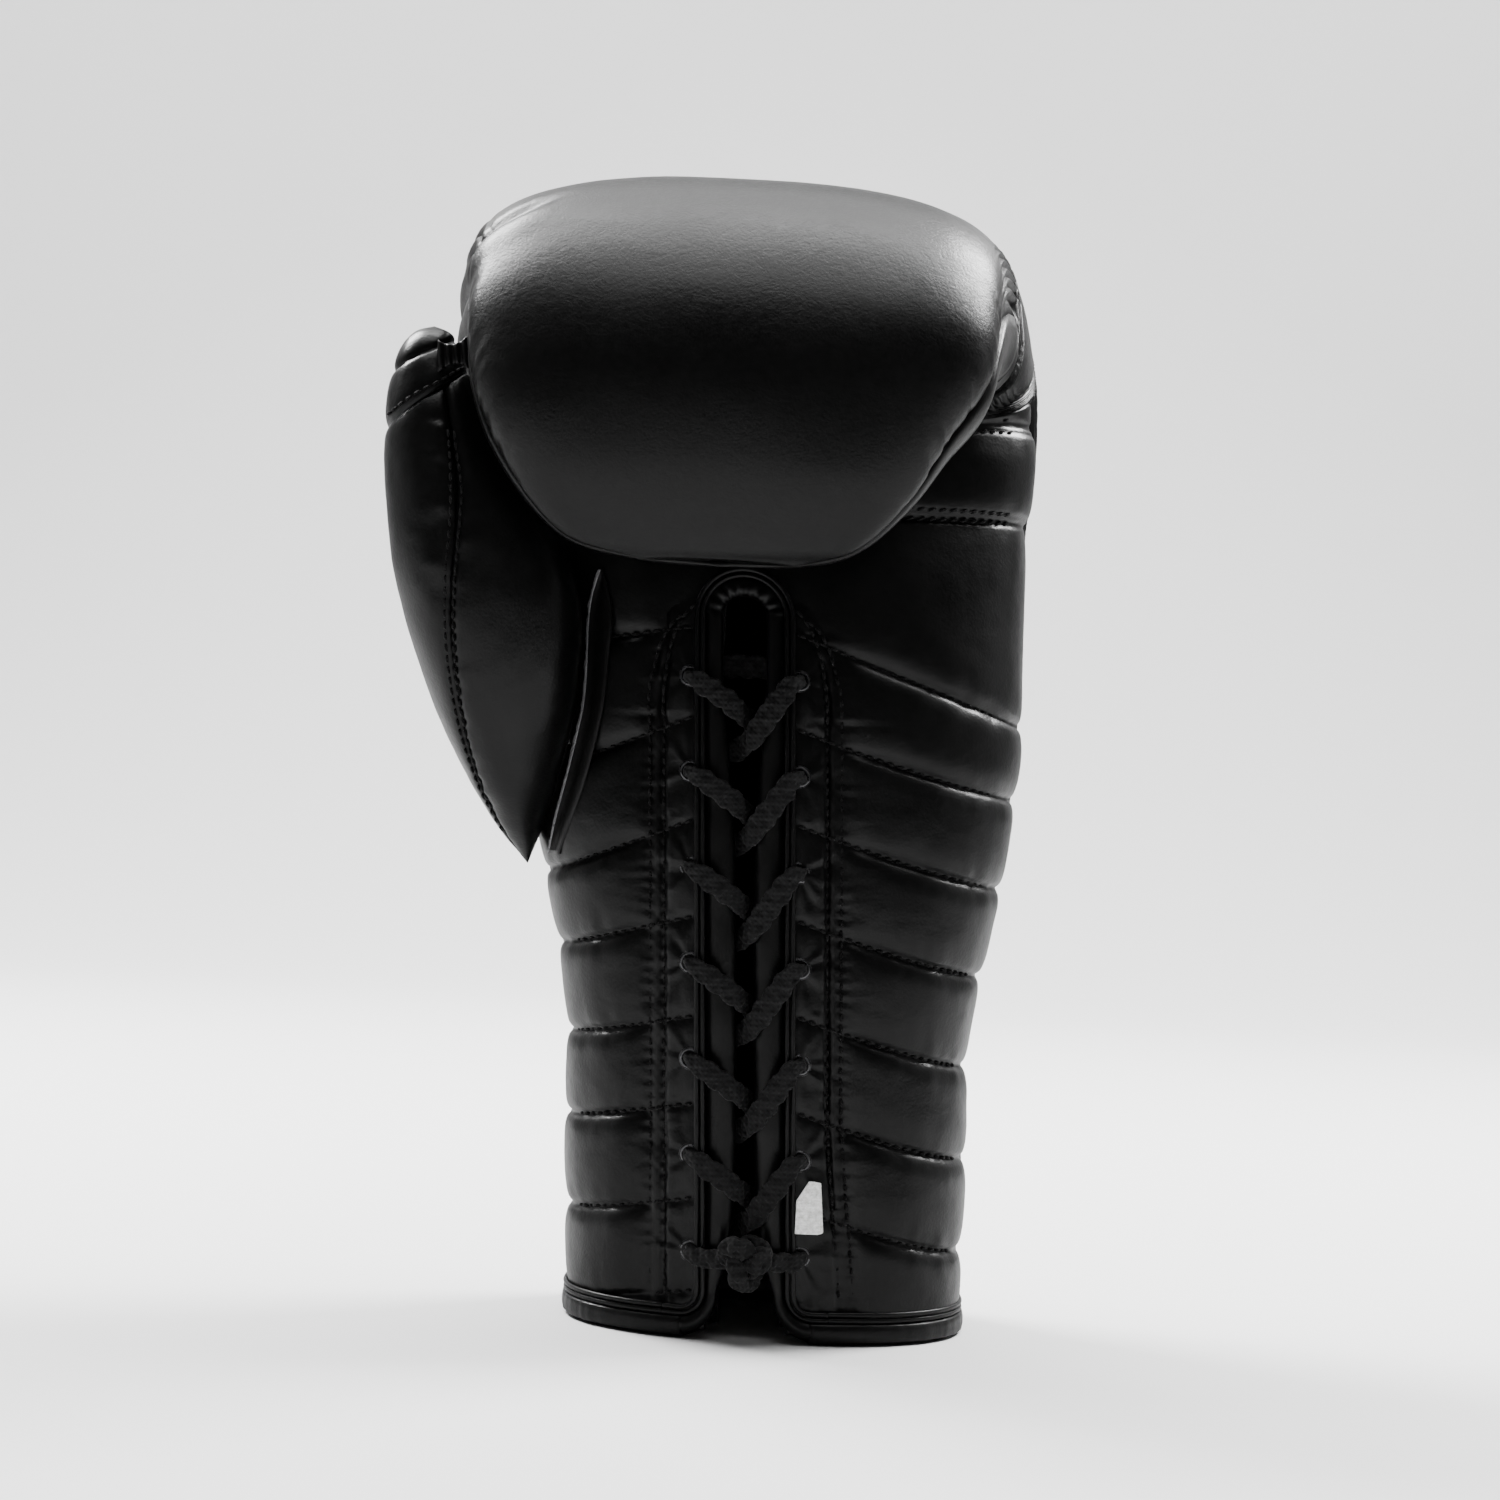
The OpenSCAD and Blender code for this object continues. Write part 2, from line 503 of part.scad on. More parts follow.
// The front seam winds from the left side at the bottom to the right side at the tip
seam_turn = function(s) -46 + 76 * ease(s, 0.5, 8);
function thumb_angle(s, j) =
    let (phi = THUMB_LINES[j]) phi + (phi > 120 ? seam_turn(s) * sin((phi - 120) * 0.75) : 0);
function thumb_grid(rows_s, js, depth) =
    [for (s = rows_s) [for (j = js)
        let (gap = js[0] != FRONT_SEAM ? 0 : j == FRONT_SEAM ? 0.9 : j == BACK_SEAM ? -0.9 : 0,
             phi = thumb_angle(s, j) + gap, a = thumb_skin(s, phi), b = thumb_core(s, phi))
        leaned(a + unit(b - a) * depth(s, phi))]];
thumb_open = function(s, j) s > 1.99 && s < 3.99 && j < 3;
module thumb_layer(rows_s, js, from, to, wrap = false, keep = function(s, j) !thumb_open(s, j))
    slab(thumb_grid(rows_s, js, from), thumb_grid(rows_s, js, to), wrap,
         function(i, j) keep(rows_s[i], js[j]));
function thumb_lines(a, b) = [for (j = [a:b]) j % len(THUMB_LINES)];
function thumb_rows(lo, hi) = [for (s = THUMB_ROWS) if (s > lo - 0.001 && s < hi + 0.001) s];

module thumb_outer_panel() color(LEATHER)
    thumb_layer(thumb_rows(0, 7.6), thumb_lines(BACK_SEAM, FRONT_SEAM), outside, under_leather);
module thumb_inner_panel() color(LEATHER)
    thumb_layer(thumb_rows(0, 7.6), thumb_lines(FRONT_SEAM, BACK_SEAM + len(THUMB_LINES)),
                outside, under_leather);
module thumb_tip_panel() color(LEATHER)
    thumb_layer(concat([7.62], thumb_rows(8, 10)), thumb_lines(0, 13), outside, under_leather, wrap = true);
module thumb_foam() color(FOAM)
    thumb_layer(THUMB_ROWS, thumb_lines(0, 13), pad_face,
                function(s, phi) thumb_wall(s, phi) - lining_t - layer_gap, wrap = true);
module thumb_lining() color(LINING)
    thumb_layer(THUMB_ROWS, thumb_lines(0, 13), function(s, phi) thumb_wall(s, phi) - lining_t,
                function(s, phi) thumb_wall(s, phi), wrap = true);

// The strip that is sewn on the palm along the edge of the thumb: z, left edge, right edge
STRIP = [[197, -45.4, -38.2], [186, -45.4, -38.4], [172, -45.6, -39.4], [160, -46.4, -40.6],
         [148, -49, -43.2], [138, -51.6, -46], [128, -54.4, -49.6], [120, -56.2, -52.6]];
function strip_rows(depth) =
    [for (i = [0:len(STRIP) - 1]) let (q = STRIP[i])
        [for (k = [0:2]) palm_point(q[1] + (q[2] - q[1]) * k / 2 - slot_x, q[0] * kz, depth)]];
module thumb_strip() color(LEATHER)
    slab(strip_rows(-1.4), strip_rows(-0.15));

// The tab that ties the thumb's tip to the fist
module thumb_tab() color(LEATHER)
    translate(leaned([-78.6 * kx, -38.3 * ky, 246 * kz]))
        rotate([0, 0, -6])
            cube([8.2, 1.2, 7], center = true);

knuckle_shell();
back_cuff_panel();
palm_panel();
roll_underside_panel();
knuckle_foam_outer();
knuckle_foam_core();
knuckle_foam_inner();
fingertip_pad();
roll_underside_pad();
back_wrist_pad();
right_cuff_pad();
left_cuff_pad();
palm_pad();
crease_pad();
grip_bar();
hand_lining();
finger_lining();
hem_binding();
slot_facing();
slot_piping();
eyelets();
lace();
lace_knot();
size_tag();
thumb_strip();
thumb_tab();
thumb_outer_panel();
thumb_inner_panel();
thumb_tip_panel();
thumb_foam();
thumb_lining();
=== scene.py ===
"""Looks of the laced boxing glove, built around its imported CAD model."""

import math

import bmesh
import bpy
import numpy as np
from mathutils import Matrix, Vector


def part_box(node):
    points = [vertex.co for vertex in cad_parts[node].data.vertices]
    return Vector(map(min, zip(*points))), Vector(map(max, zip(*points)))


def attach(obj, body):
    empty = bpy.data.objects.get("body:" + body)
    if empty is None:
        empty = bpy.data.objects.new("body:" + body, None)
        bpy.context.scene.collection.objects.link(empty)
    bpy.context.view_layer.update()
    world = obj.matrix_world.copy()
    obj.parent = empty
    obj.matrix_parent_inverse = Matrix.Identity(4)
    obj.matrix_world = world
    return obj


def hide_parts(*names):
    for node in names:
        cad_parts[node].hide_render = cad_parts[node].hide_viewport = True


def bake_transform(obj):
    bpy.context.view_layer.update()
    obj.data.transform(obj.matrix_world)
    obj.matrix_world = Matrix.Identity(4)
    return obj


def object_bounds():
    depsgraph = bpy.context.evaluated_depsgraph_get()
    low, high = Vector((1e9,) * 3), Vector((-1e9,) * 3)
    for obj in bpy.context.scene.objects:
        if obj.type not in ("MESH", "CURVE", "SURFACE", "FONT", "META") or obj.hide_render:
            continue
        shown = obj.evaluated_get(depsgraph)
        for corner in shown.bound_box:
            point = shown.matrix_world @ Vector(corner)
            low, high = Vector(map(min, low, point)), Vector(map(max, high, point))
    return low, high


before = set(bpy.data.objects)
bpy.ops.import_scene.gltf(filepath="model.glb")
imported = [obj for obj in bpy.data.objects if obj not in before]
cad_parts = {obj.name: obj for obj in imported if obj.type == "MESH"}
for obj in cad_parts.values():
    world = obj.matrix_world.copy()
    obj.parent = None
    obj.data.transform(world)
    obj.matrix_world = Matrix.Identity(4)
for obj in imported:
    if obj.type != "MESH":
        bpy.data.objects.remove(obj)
CAD_BOX = [list(map(float, v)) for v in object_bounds()]

MM = 0.001
LEAN_DEG = 3  # the glove leans towards its thumb
LEAN = math.tan(math.radians(LEAN_DEG))
SLOT_X = -4.5
ARC_Z = 183.5
STATION = 25  # height of one station in the cuff
SLOT_HALF = 10.5

# ---------------- surface of the glove, in mm
MITT = np.array([[40, 0, -39, 0, -51.5, 51.5], [41, 25, -40, 25, -52, 53], [41.5, 50, -40, 50, -52, 54],
                 [42, 75, -40, 75, -51.5, 54.5], [43, 101, -39.5, 99, -54.5, 59.5],
                 [46, 128, -39, 123, -59, 64.5], [51, 156, -37.5, 147, -61, 68.5],
                 [57, 184, -35, 170, -62, 69.5], [62, 211, -31, 191, -65, 70.5],
                 [65, 238, -27, 209, -70, 72.5], [63, 263, -23, 222, -77, 74.5], [52, 286, -22, 230, -81, 73],
                 [31, 297, -24.5, 235, -79.5, 70], [5, 299.5, -28, 236.5, -76, 66],
                 [-21, 296.5, -31, 234, -74, 63.5], [-44, 284.5, -33, 229, -74.5, 61],
                 [-60, 266, -34.5, 222, -74.5, 57.5], [-67, 245, -37, 214, -70.5, 47.5],
                 [-66, 222, -41, 204.5, -62, 37], [-59, 203.5, -46, 197, -49, 23.5],
                 [-54, 196.8, -51.3, 194.9, -30, 8]], float)
WALL = np.array([[13, 13, 12], [13, 13, 12], [13, 13, 12], [13, 13, 12], [13, 12.5, 12], [15, 12, 13],
                 [18, 10, 14], [23, 9, 15], [30, 9, 17], [37, 13, 19], [42, 15, 21], [44, 15, 21],
                 [41, 11, 21], [38, 7, 20], [36, 5, 20], [33, 5, 20], [26.5, 5, 20], [20, 5, 21], [14, 8, 22],
                 [8.5, 5.2, 20], [1.6, 1.55, 12]], float)
THUMB = np.array([
    [117, -61.6, -61.5, -10, 0.05], [126, -69, -57.6, -12, 8.5], [140, -77, -52.8, -17, 15.5],
    [160, -86, -48, -22.5, 20.5], [185, -94, -46.8, -25, 22.5], [205, -97, -53, -26, 21],
    [222, -97.5, -64.5, -26, 17.5], [236, -96.5, -72, -26, 14], [246, -94, -77, -26, 10.5],
    [252, -90, -79.5, -26, 6.5], [254.3, -84.6, -84.5, -26, 0.05]], float)


def spline(table, t):
    """Catmull-Rom curve through the rows of a table, for an array of parameters."""
    n = len(table) - 1
    t = np.asarray(t, float)
    i = np.clip(np.floor(t).astype(int), 0, n - 1)
    u = (t - i)[..., None]
    a, b, c, d = table[np.maximum(i - 1, 0)], table[i], table[i + 1], table[np.minimum(i + 2, n)]
    return 0.5 * (2 * b + (c - a) * u + (2 * a - 5 * b + 4 * c - d) * u * u
                  + (3 * b - a - 3 * c + d) * u ** 3)


def spow(v, e):
    return np.sign(v) * np.abs(v) ** e


def ease(v, lo, hi):
    u = np.clip((np.asarray(v, float) - lo) / (hi - lo), 0, 1)
    return u * u * (3 - 2 * u)


def bell(v, width):
    return np.exp(-(np.asarray(v, float) / width) ** 2)


def turned(deg):
    """Cosine and sine of an angle in degrees."""
    return math.cos(math.radians(deg)), math.sin(math.radians(deg))


def unit(v):
    return v / np.maximum(np.linalg.norm(v, axis=-1, keepdims=True), 1e-9)


def floats(*values):
    """Arrays of one shape from numbers and arrays."""
    return np.broadcast_arrays(*(np.asarray(v, float) for v in values))


def circle(n):
    """Angles of n steps round a circle."""
    return np.linspace(0, 2 * np.pi, n, endpoint=False)


def squareness(t):
    return 2.35 + 0.6 * ease(t, 6, 11) - 0.4 * ease(t, 14, 18)


def ring_point(oy, oz, iy, iz, left, right, n, phi):
    c, s = spow(np.cos(phi), 2 / n), spow(np.sin(phi), 2 / n)
    return np.stack([(left + right) / 2 + (right - left) / 2 * s,
                     (oy + iy) / 2 + (oy - iy) / 2 * c, (oz + iz) / 2 + (oz - iz) / 2 * c], -1)


def mitt(t, deg):
    """Point of the outer surface at station t; deg runs 0 outer, 90 right, 180 inner, 270 left."""
    t, phi = floats(t, np.radians(deg))
    s = spline(MITT, t)
    return ring_point(s[..., 0], s[..., 1], s[..., 2], s[..., 3], s[..., 4], s[..., 5], squareness(t), phi)


def cavity(t, deg, extra=0.0):
    """Point of the hand's cavity; extra moves it towards the outside."""
    t, phi = floats(t, np.radians(deg))
    s, w = spline(MITT, t), spline(WALL, t) - extra
    d = unit(s[..., 2:4] - s[..., 0:2])
    o, i = s[..., 0:2] + d * w[..., 0:1], s[..., 2:4] - d * w[..., 1:2]
    return ring_point(o[..., 0], o[..., 1], i[..., 0], i[..., 1], s[..., 4] + w[..., 2],
                      s[..., 5] - w[..., 2], 2.3, phi)


def palm_angle(t, x):
    s = spline(MITT, t)
    u = np.clip((x - (s[..., 4] + s[..., 5]) / 2) * 2 / (s[..., 5] - s[..., 4]), -1, 1)
    return 180 - np.degrees(np.arcsin(spow(u, squareness(t) / 2)))


def palm_station(x, z):
    """Station and angle of the palm side at x and height z."""
    x, z = floats(x, z)
    lo, hi = np.zeros(x.shape), np.full(x.shape, 11.0)
    for _ in range(18):
        mid = (lo + hi) / 2
        low = mitt(mid, palm_angle(mid, x))[..., 2] < z
        lo, hi = np.where(low, mid, lo), np.where(low, hi, mid)
    return (lo + hi) / 2, palm_angle((lo + hi) / 2, x)


# ---------------- seeded noise
def lattice(i, j, k, seed):
    i, j, k = (v.astype(np.int64) for v in (i, j, k))
    h = (i * 73856093) ^ (j * 19349663) ^ (k * 83492791) ^ (seed * 26544357)
    h = (h ^ (h >> 13)) * 1274126177 & 0xFFFFFFFF
    return ((h ^ (h >> 16)) & 0xFFFF) / 65535.0 * 2 - 1


def noise(p, seed=0):
    """Smooth value noise from -1 to 1 at points p, one cell per unit."""
    f = np.floor(p).astype(np.int64)
    u = p - f
    u = u * u * (3 - 2 * u)
    total = 0
    for dx in (0, 1):
        for dy in (0, 1):
            for dz in (0, 1):
                w = ((u[..., 0] if dx else 1 - u[..., 0]) * (u[..., 1] if dy else 1 - u[..., 1])
                     * (u[..., 2] if dz else 1 - u[..., 2]))
                total = total + w * lattice(f[..., 0] + dx, f[..., 1] + dy, f[..., 2] + dz, seed)
    return total


def noise_at(x, y=0.0, z=0.0, seed=0):
    return noise(np.stack(floats(x, y, z), -1), seed)


def fbm(p, size, seed=0, octaves=3):
    total, amp = 0, 1.0
    for o in range(octaves):
        total = total + amp * noise(p / size * 2 ** o, seed + o)
        amp *= 0.5
    return total


# ---------------- meshes
def leaned(p):
    q = np.array(p, float)
    q[..., 0] -= q[..., 2] * LEAN
    return q


def link(name, data):
    """Scene object that holds some data."""
    obj = bpy.data.objects.new(name, data)
    bpy.context.scene.collection.objects.link(obj)
    return obj


def add_object(name, shape, material, body, slot, *nodes):
    """Smooth mesh object from points in mm and faces, on a body; it stands for the CAD nodes named last."""
    verts, faces = shape
    mesh = bpy.data.meshes.new(name)
    mesh.from_pydata((np.asarray(verts, float) * MM).tolist(), [], [list(map(int, f)) for f in faces])
    mesh.update()
    bm = bmesh.new()
    bm.from_mesh(mesh)
    bmesh.ops.recalc_face_normals(bm, faces=bm.faces)
    bm.to_mesh(mesh)
    bm.free()
    mesh.polygons.foreach_set("use_smooth", [True] * len(mesh.polygons))
    mesh.materials.append(material)
    obj = link(name, mesh)
    if body:
        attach(obj, body)
    if nodes:
        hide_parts(*nodes)
    return obj


def grid_faces(rows, cols, wrap=False):
    i, j = np.meshgrid(np.arange(rows - 1), np.arange(cols if wrap else cols - 1), indexing="ij")
    k = (j + 1) % cols
    return np.stack([i * cols + j, i * cols + k, (i + 1) * cols + k, (i + 1) * cols + j], -1).reshape(-1, 4)


def shell_mesh(outer, inner, wrap=False, hole=None):
    """Closed sheet between two grids of points, with its rims. hole marks cells that are left out."""
    rows, cols = outer.shape[:2]
    faces = grid_faces(rows, cols, wrap)
    if hole is not None:
        faces = faces[~hole.reshape(-1)]
    n = rows * cols
    edges = {}
    for f in faces:
        for a, b in zip(f, np.roll(f, -1)):
            edges[(a, b)] = edges.get((a, b), 0) + 1
    rim = [(a, b) for (a, b) in edges if (b, a) not in edges]
    all_faces = faces.tolist() + (faces[:, ::-1] + n).tolist() + [[b, a, a + n, b + n] for a, b in rim]
    verts = np.concatenate([outer.reshape(-1, 3), inner.reshape(-1, 3)])
    return verts, all_faces


def tube_rings(path, width_dir, half_w, half_t, sides, power=1.0):
    """Rings of a flattened cord along path. width_dir is the direction its width lies in."""
    path = np.asarray(path, float)
    t = unit(np.gradient(path, axis=0))
    w = np.broadcast_to(np.asarray(width_dir, float), path.shape)
    w = unit(w - t * (t * w).sum(-1, keepdims=True))
    n = np.cross(t, w)
    c = circle(sides)
    hw = np.broadcast_to(np.asarray(half_w, float), len(path))[:, None, None]
    ht = np.broadcast_to(np.asarray(half_t, float), len(path))[:, None, None]
    return (path[:, None] + w[:, None] * hw * spow(np.cos(c), power)[None, :, None]
            + n[:, None] * ht * spow(np.sin(c), power)[None, :, None])


def tube_mesh(rings, loop=False):
    rows, cols = rings.shape[:2]
    faces = grid_faces(rows, cols, True).tolist()
    if loop:
        last = (rows - 1) * cols
        faces += [[last + j, last + (j + 1) % cols, (j + 1) % cols, j] for j in range(cols)]
        return rings.reshape(-1, 3), faces
    ends = np.stack([rings[0].mean(0), rings[-1].mean(0)])
    n = rows * cols
    faces += [[n, (j + 1) % cols, j] for j in range(cols)]
    faces += [[n + 1, n - cols + j, n - cols + (j + 1) % cols] for j in range(cols)]
    return np.concatenate([rings.reshape(-1, 3), ends]), faces


def join(parts):
    verts, faces, n = [], [], 0
    for v, f in parts:
        verts.append(np.asarray(v))
        faces += [[int(i) + n for i in g] for g in f]
        n += len(v)
    return np.concatenate(verts), faces


def travelled(path):
    """Length of the way along a path, at each of its points."""
    return np.concatenate([[0], np.cumsum(np.linalg.norm(np.diff(path, axis=0), axis=1))])


def resample(path, step):
    """Smooth curve through the points, cut into equal steps."""
    path = np.asarray(path, float)
    fine = spline(path, np.linspace(0, len(path) - 1, len(path) * 24))
    s = travelled(fine[:, :3])
    u = np.linspace(0, s[-1], max(int(s[-1] / step), 4))
    return np.stack([np.interp(u, s, fine[:, k]) for k in range(fine.shape[1])], 1)


STITCH = []


def stitch_row(points, normals, pitch=3.2, length=2.3, r=0.3, sink=0.05, slant=0.0):
    """Rows of thread: each stitch is a small bent capsule that dips at both ends."""
    points, normals = np.asarray(points, float), np.asarray(normals, float)
    s = travelled(points)
    for u in np.arange(pitch * 0.5, s[-1] - pitch * 0.4, pitch):
        def at(v):
            return (np.array([np.interp(v, s, points[:, k]) for k in range(3)]),
                    unit(np.array([np.interp(v, s, normals[:, k]) for k in range(3)])))
        c, n = at(u)
        d = unit(at(u + 0.4)[0] - at(u - 0.4)[0])
        side = np.cross(n, d)
        d = unit(d + side * slant)
        h = np.linspace(-1, 1, 6)
        bow = r * 0.75 - sink - 0.75 * r * 2.2 * np.abs(h) ** 3
        line = c + d * (h * length / 2)[:, None] + n * bow[:, None]
        thick = r * np.sqrt(np.clip(1.02 - h ** 4, 0.05, 1))
        rings = tube_rings(line, np.cross(d, n), thick, thick, 6)
        STITCH.append(tube_mesh(rings))


# ---------------- materials
def new_material(name, color, rough, metallic=0.0, spec=0.5):
    """Material with its Principled shader; returns the tree and the shader as well."""
    m = bpy.data.materials.new(name)
    m.use_nodes = True
    nt = m.node_tree
    b = next(n for n in nt.nodes if n.type == "BSDF_PRINCIPLED")
    b.inputs["Base Color"].default_value = (*color, 1)
    b.inputs["Roughness"].default_value = rough
    b.inputs["Metallic"].default_value = metallic
    b.inputs["Specular IOR Level"].default_value = spec
    m.diffuse_color = (*color, 1)
    return m, nt, b


def node(nt, kind, **values):
    n = nt.nodes.new(kind)
    for k, v in values.items():
        if k in n.inputs:
            n.inputs[k].default_value = v
        else:
            setattr(n, k, v)
    return n


def coords(nt, scale=(1, 1, 1), rotation=(0, 0, 0)):
    tc = nt.nodes.new("ShaderNodeTexCoord")
    mp = node(nt, "ShaderNodeMapping")
    mp.inputs["Scale"].default_value = scale
    mp.inputs["Rotation"].default_value = rotation
    nt.links.new(tc.outputs["Object"], mp.inputs["Vector"])
    return mp.outputs["Vector"]


def ramp(nt, source, stops):
    r = nt.nodes.new("ShaderNodeValToRGB")
    while len(r.color_ramp.elements) < len(stops):
        r.color_ramp.elements.new(0.5)
    for e, (pos, col) in zip(r.color_ramp.elements, stops):
        e.position = pos
        e.color = (*col, 1) if not isinstance(col, float) else (col, col, col, 1)
    nt.links.new(source, r.inputs["Fac"])
    return r.outputs["Color"]


def bump_chain(nt, b, layers):
    """Layers of (height output, strength, distance in metres), coarse first."""
    last = None
    for out, strength, dist in layers:
        bp = node(nt, "ShaderNodeBump")
        bp.inputs["Strength"].default_value = strength
        bp.inputs["Distance"].default_value = dist
        nt.links.new(out, bp.inputs["Height"])
        if last:
            nt.links.new(last, bp.inputs["Normal"])
        last = bp.outputs["Normal"]
    nt.links.new(last, b.inputs["Normal"])


def leather_material(name, base=0.0018, rough=(0.28, 0.39), grain=0.13, crease=0.05):
    m, nt, b = new_material(name, (base, base, base * 1.04), 0.42, spec=0.32)
    big = node(nt, "ShaderNodeTexNoise", Scale=38.0, Detail=4.0, Roughness=0.55)
    fine = node(nt, "ShaderNodeTexNoise", Scale=520.0, Detail=3.0, Roughness=0.6)
    pores = node(nt, "ShaderNodeTexVoronoi", Scale=1150.0)
    lines = node(nt, "ShaderNodeTexNoise", Scale=95.0, Detail=5.0, Roughness=0.68, Distortion=1.6)
    for n, v in ((big, coords(nt)), (fine, coords(nt)), (pores, coords(nt)),
                 (lines, coords(nt, (1, 1, 1.9), (0.3, 0.5, 0)))):
        nt.links.new(v, n.inputs["Vector"])
    col = ramp(nt, big.outputs["Fac"], [(0.3, (base * 0.8, base * 0.8, base * 0.84)),
                                        (0.72, (base * 1.3, base * 1.3, base * 1.34))])
    nt.links.new(col, b.inputs["Base Color"])
    mix = node(nt, "ShaderNodeMix", data_type="FLOAT")
    mix.inputs[0].default_value = 0.45
    nt.links.new(big.outputs["Fac"], mix.inputs[2])
    nt.links.new(fine.outputs["Fac"], mix.inputs[3])
    rmap = node(nt, "ShaderNodeMapRange")
    rmap.inputs["From Min"].default_value = 0.3
    rmap.inputs["From Max"].default_value = 0.7
    rmap.inputs["To Min"].default_value = rough[0]
    rmap.inputs["To Max"].default_value = rough[1]
    nt.links.new(mix.outputs[0], rmap.inputs["Value"])
    nt.links.new(rmap.outputs["Result"], b.inputs["Roughness"])
    thin = ramp(nt, lines.outputs["Fac"], [(0.4, 1.0), (0.47, 0.0), (0.54, 1.0)])
    bump_chain(nt, b, [(thin, crease, 0.00025), (fine.outputs["Fac"], grain * 1.2, 0.0003),
                       (pores.outputs["Distance"], grain, 0.0002)])
    return m


def cloth_material(name, color, rough=0.8, scale=900.0, strength=0.5, sheen=0.2):
    m, nt, b = new_material(name, color, rough, spec=0.3)
    b.inputs["Sheen Weight"].default_value = sheen
    a = node(nt, "ShaderNodeTexWave", Scale=scale / 6.3, Distortion=0.6)
    a.bands_direction = "X"
    c = node(nt, "ShaderNodeTexWave", Scale=scale / 6.3, Distortion=0.6)
    c.bands_direction = "Z"
    n = node(nt, "ShaderNodeTexNoise", Scale=scale * 0.35, Detail=4.0)
    for t in (a, c, n):
        nt.links.new(coords(nt), t.inputs["Vector"])
    mx = node(nt, "ShaderNodeMix", data_type="RGBA", blend_type="MULTIPLY")
    mx.inputs[0].default_value = 1.0
    nt.links.new(a.outputs["Color"], mx.inputs[6])
    nt.links.new(c.outputs["Color"], mx.inputs[7])
    col = ramp(nt, n.outputs["Fac"], [(0.3, tuple(v * 0.72 for v in color)),
                                      (0.7, tuple(min(v * 1.25, 1) for v in color))])
    nt.links.new(col, b.inputs["Base Color"])
    bump_chain(nt, b, [(n.outputs["Fac"], strength * 0.6, 0.0004), (mx.outputs[2], strength, 0.0003)])
    return m


LEATHER = leather_material("leather_black")
LEATHER_SMOOTH = leather_material("leather_roll", rough=(0.28, 0.44), grain=0.15, crease=0.1)
EDGE = leather_material("leather_trim", base=0.0018, rough=(0.31, 0.42), grain=0.14)
RAW = leather_material("leather_cut_edge", base=0.11, rough=(0.7, 0.85), grain=0.6, crease=0.6)
THREAD = cloth_material("thread_black", (0.0016, 0.0016, 0.0017), 0.75, 2600.0, 0.4, 0.03)
LINING = cloth_material("lining_nylon", (0.004, 0.004, 0.0045), 0.7, 1500.0, 0.35, 0.03)
BRAID = cloth_material("lace_braid", (0.0042, 0.0042, 0.0045), 0.75, 1500.0, 0.8, 0.04)
TAG_MAT = cloth_material("tag_satin", (0.83, 0.83, 0.8), 0.55, 2800.0, 0.35, 0.2)
STEEL, steel_nodes, steel_shader = new_material("eyelet_steel", (0.15, 0.15, 0.155), 0.3, 1.0)
spots = node(steel_nodes, "ShaderNodeTexNoise", Scale=900.0, Detail=3.0)
steel_nodes.links.new(coords(steel_nodes), spots.inputs["Vector"])
for socket, stops in (("Roughness", [(0.3, 0.22), (0.7, 0.42)]),
                      ("Base Color", [(0.25, (0.09, 0.09, 0.095)), (0.7, (0.21, 0.21, 0.215))])):
    steel_nodes.links.new(ramp(steel_nodes, spots.outputs["Fac"], stops), steel_shader.inputs[socket])

# ---------------- quilting of the palm side
ROW0, PITCH = 34.2, 24.3
EYE_Z = 22  # height of the lowest eyelets
COLUMN_X, COLUMN_BEND_X, COLUMN_Z, COLUMN_BEND_Z = 12.2, 10.8, 158, 27
STITCH_PITCH = 2.9
SEAM_HALF = 1.9  # half the distance between the two rows of a double seam
ROLL_LOW, ROLL_HIGH = 212, 232.5  # lines below and above the grip bar
LEFT_ROWS = [[12.5, 0.2], [36, 0.2], [59.8, 0.2], [82, 0.22], [107.5, 0.28], [132.3, 0.4], [158.5, 0.4],
             [180.8, 0.15]]


def right_row(k, x):
    return ROW0 + PITCH * k - 0.34 * (x - 8) + 0.0012 * (x - 8) ** 2 * (1 if k < 6 else 0)


def left_row(k, x):
    z, slope = LEFT_ROWS[k]
    return z + slope * (x + 15)


def rows_of(side, x):
    """Heights of the sewn lines of one side at x, lowest first."""
    if side > 0:
        return np.stack([right_row(k, x) for k in range(-1, 7)])
    return np.stack([left_row(k, x) for k in range(8)])


def cell_of(rows, z):
    """Sewn lines just below and above a height, and the distance to the nearest one."""
    below = np.where(rows <= z, rows, -1e3).max(0)
    return np.where(below < 7, 4.0, below), np.where(rows > z, rows, 1e3).min(0), np.abs(rows - z).min(0)


def column_x(side, z):
    """Distance of the double seam from the middle of the slot; it curves in under the slot's top."""
    u = np.clip((np.asarray(z, float) - COLUMN_Z) / COLUMN_BEND_Z, 0, 1)
    flare = 3.2 * (1 - ease(z, 4, 60)) * (side > 0)
    return COLUMN_X + (COLUMN_BEND_X + flare) * np.sqrt(1 - u ** 2 * 0.998)


def pillow(u, sharp=0.42):
    return (4 * np.clip(u, 0, 1) * (1 - np.clip(u, 0, 1)) + 1e-6) ** sharp


def column_gap(side, ax, z):
    """Signed distance of a point from the double seam, positive away from the slot."""
    across = np.maximum(ax - COLUMN_X, 0) / COLUMN_BEND_X
    bend = (np.hypot(across, np.maximum(z - COLUMN_Z, 0) / COLUMN_BEND_Z) - 1) * 15
    return np.where(z < COLUMN_Z, ax - column_x(side, z), bend)


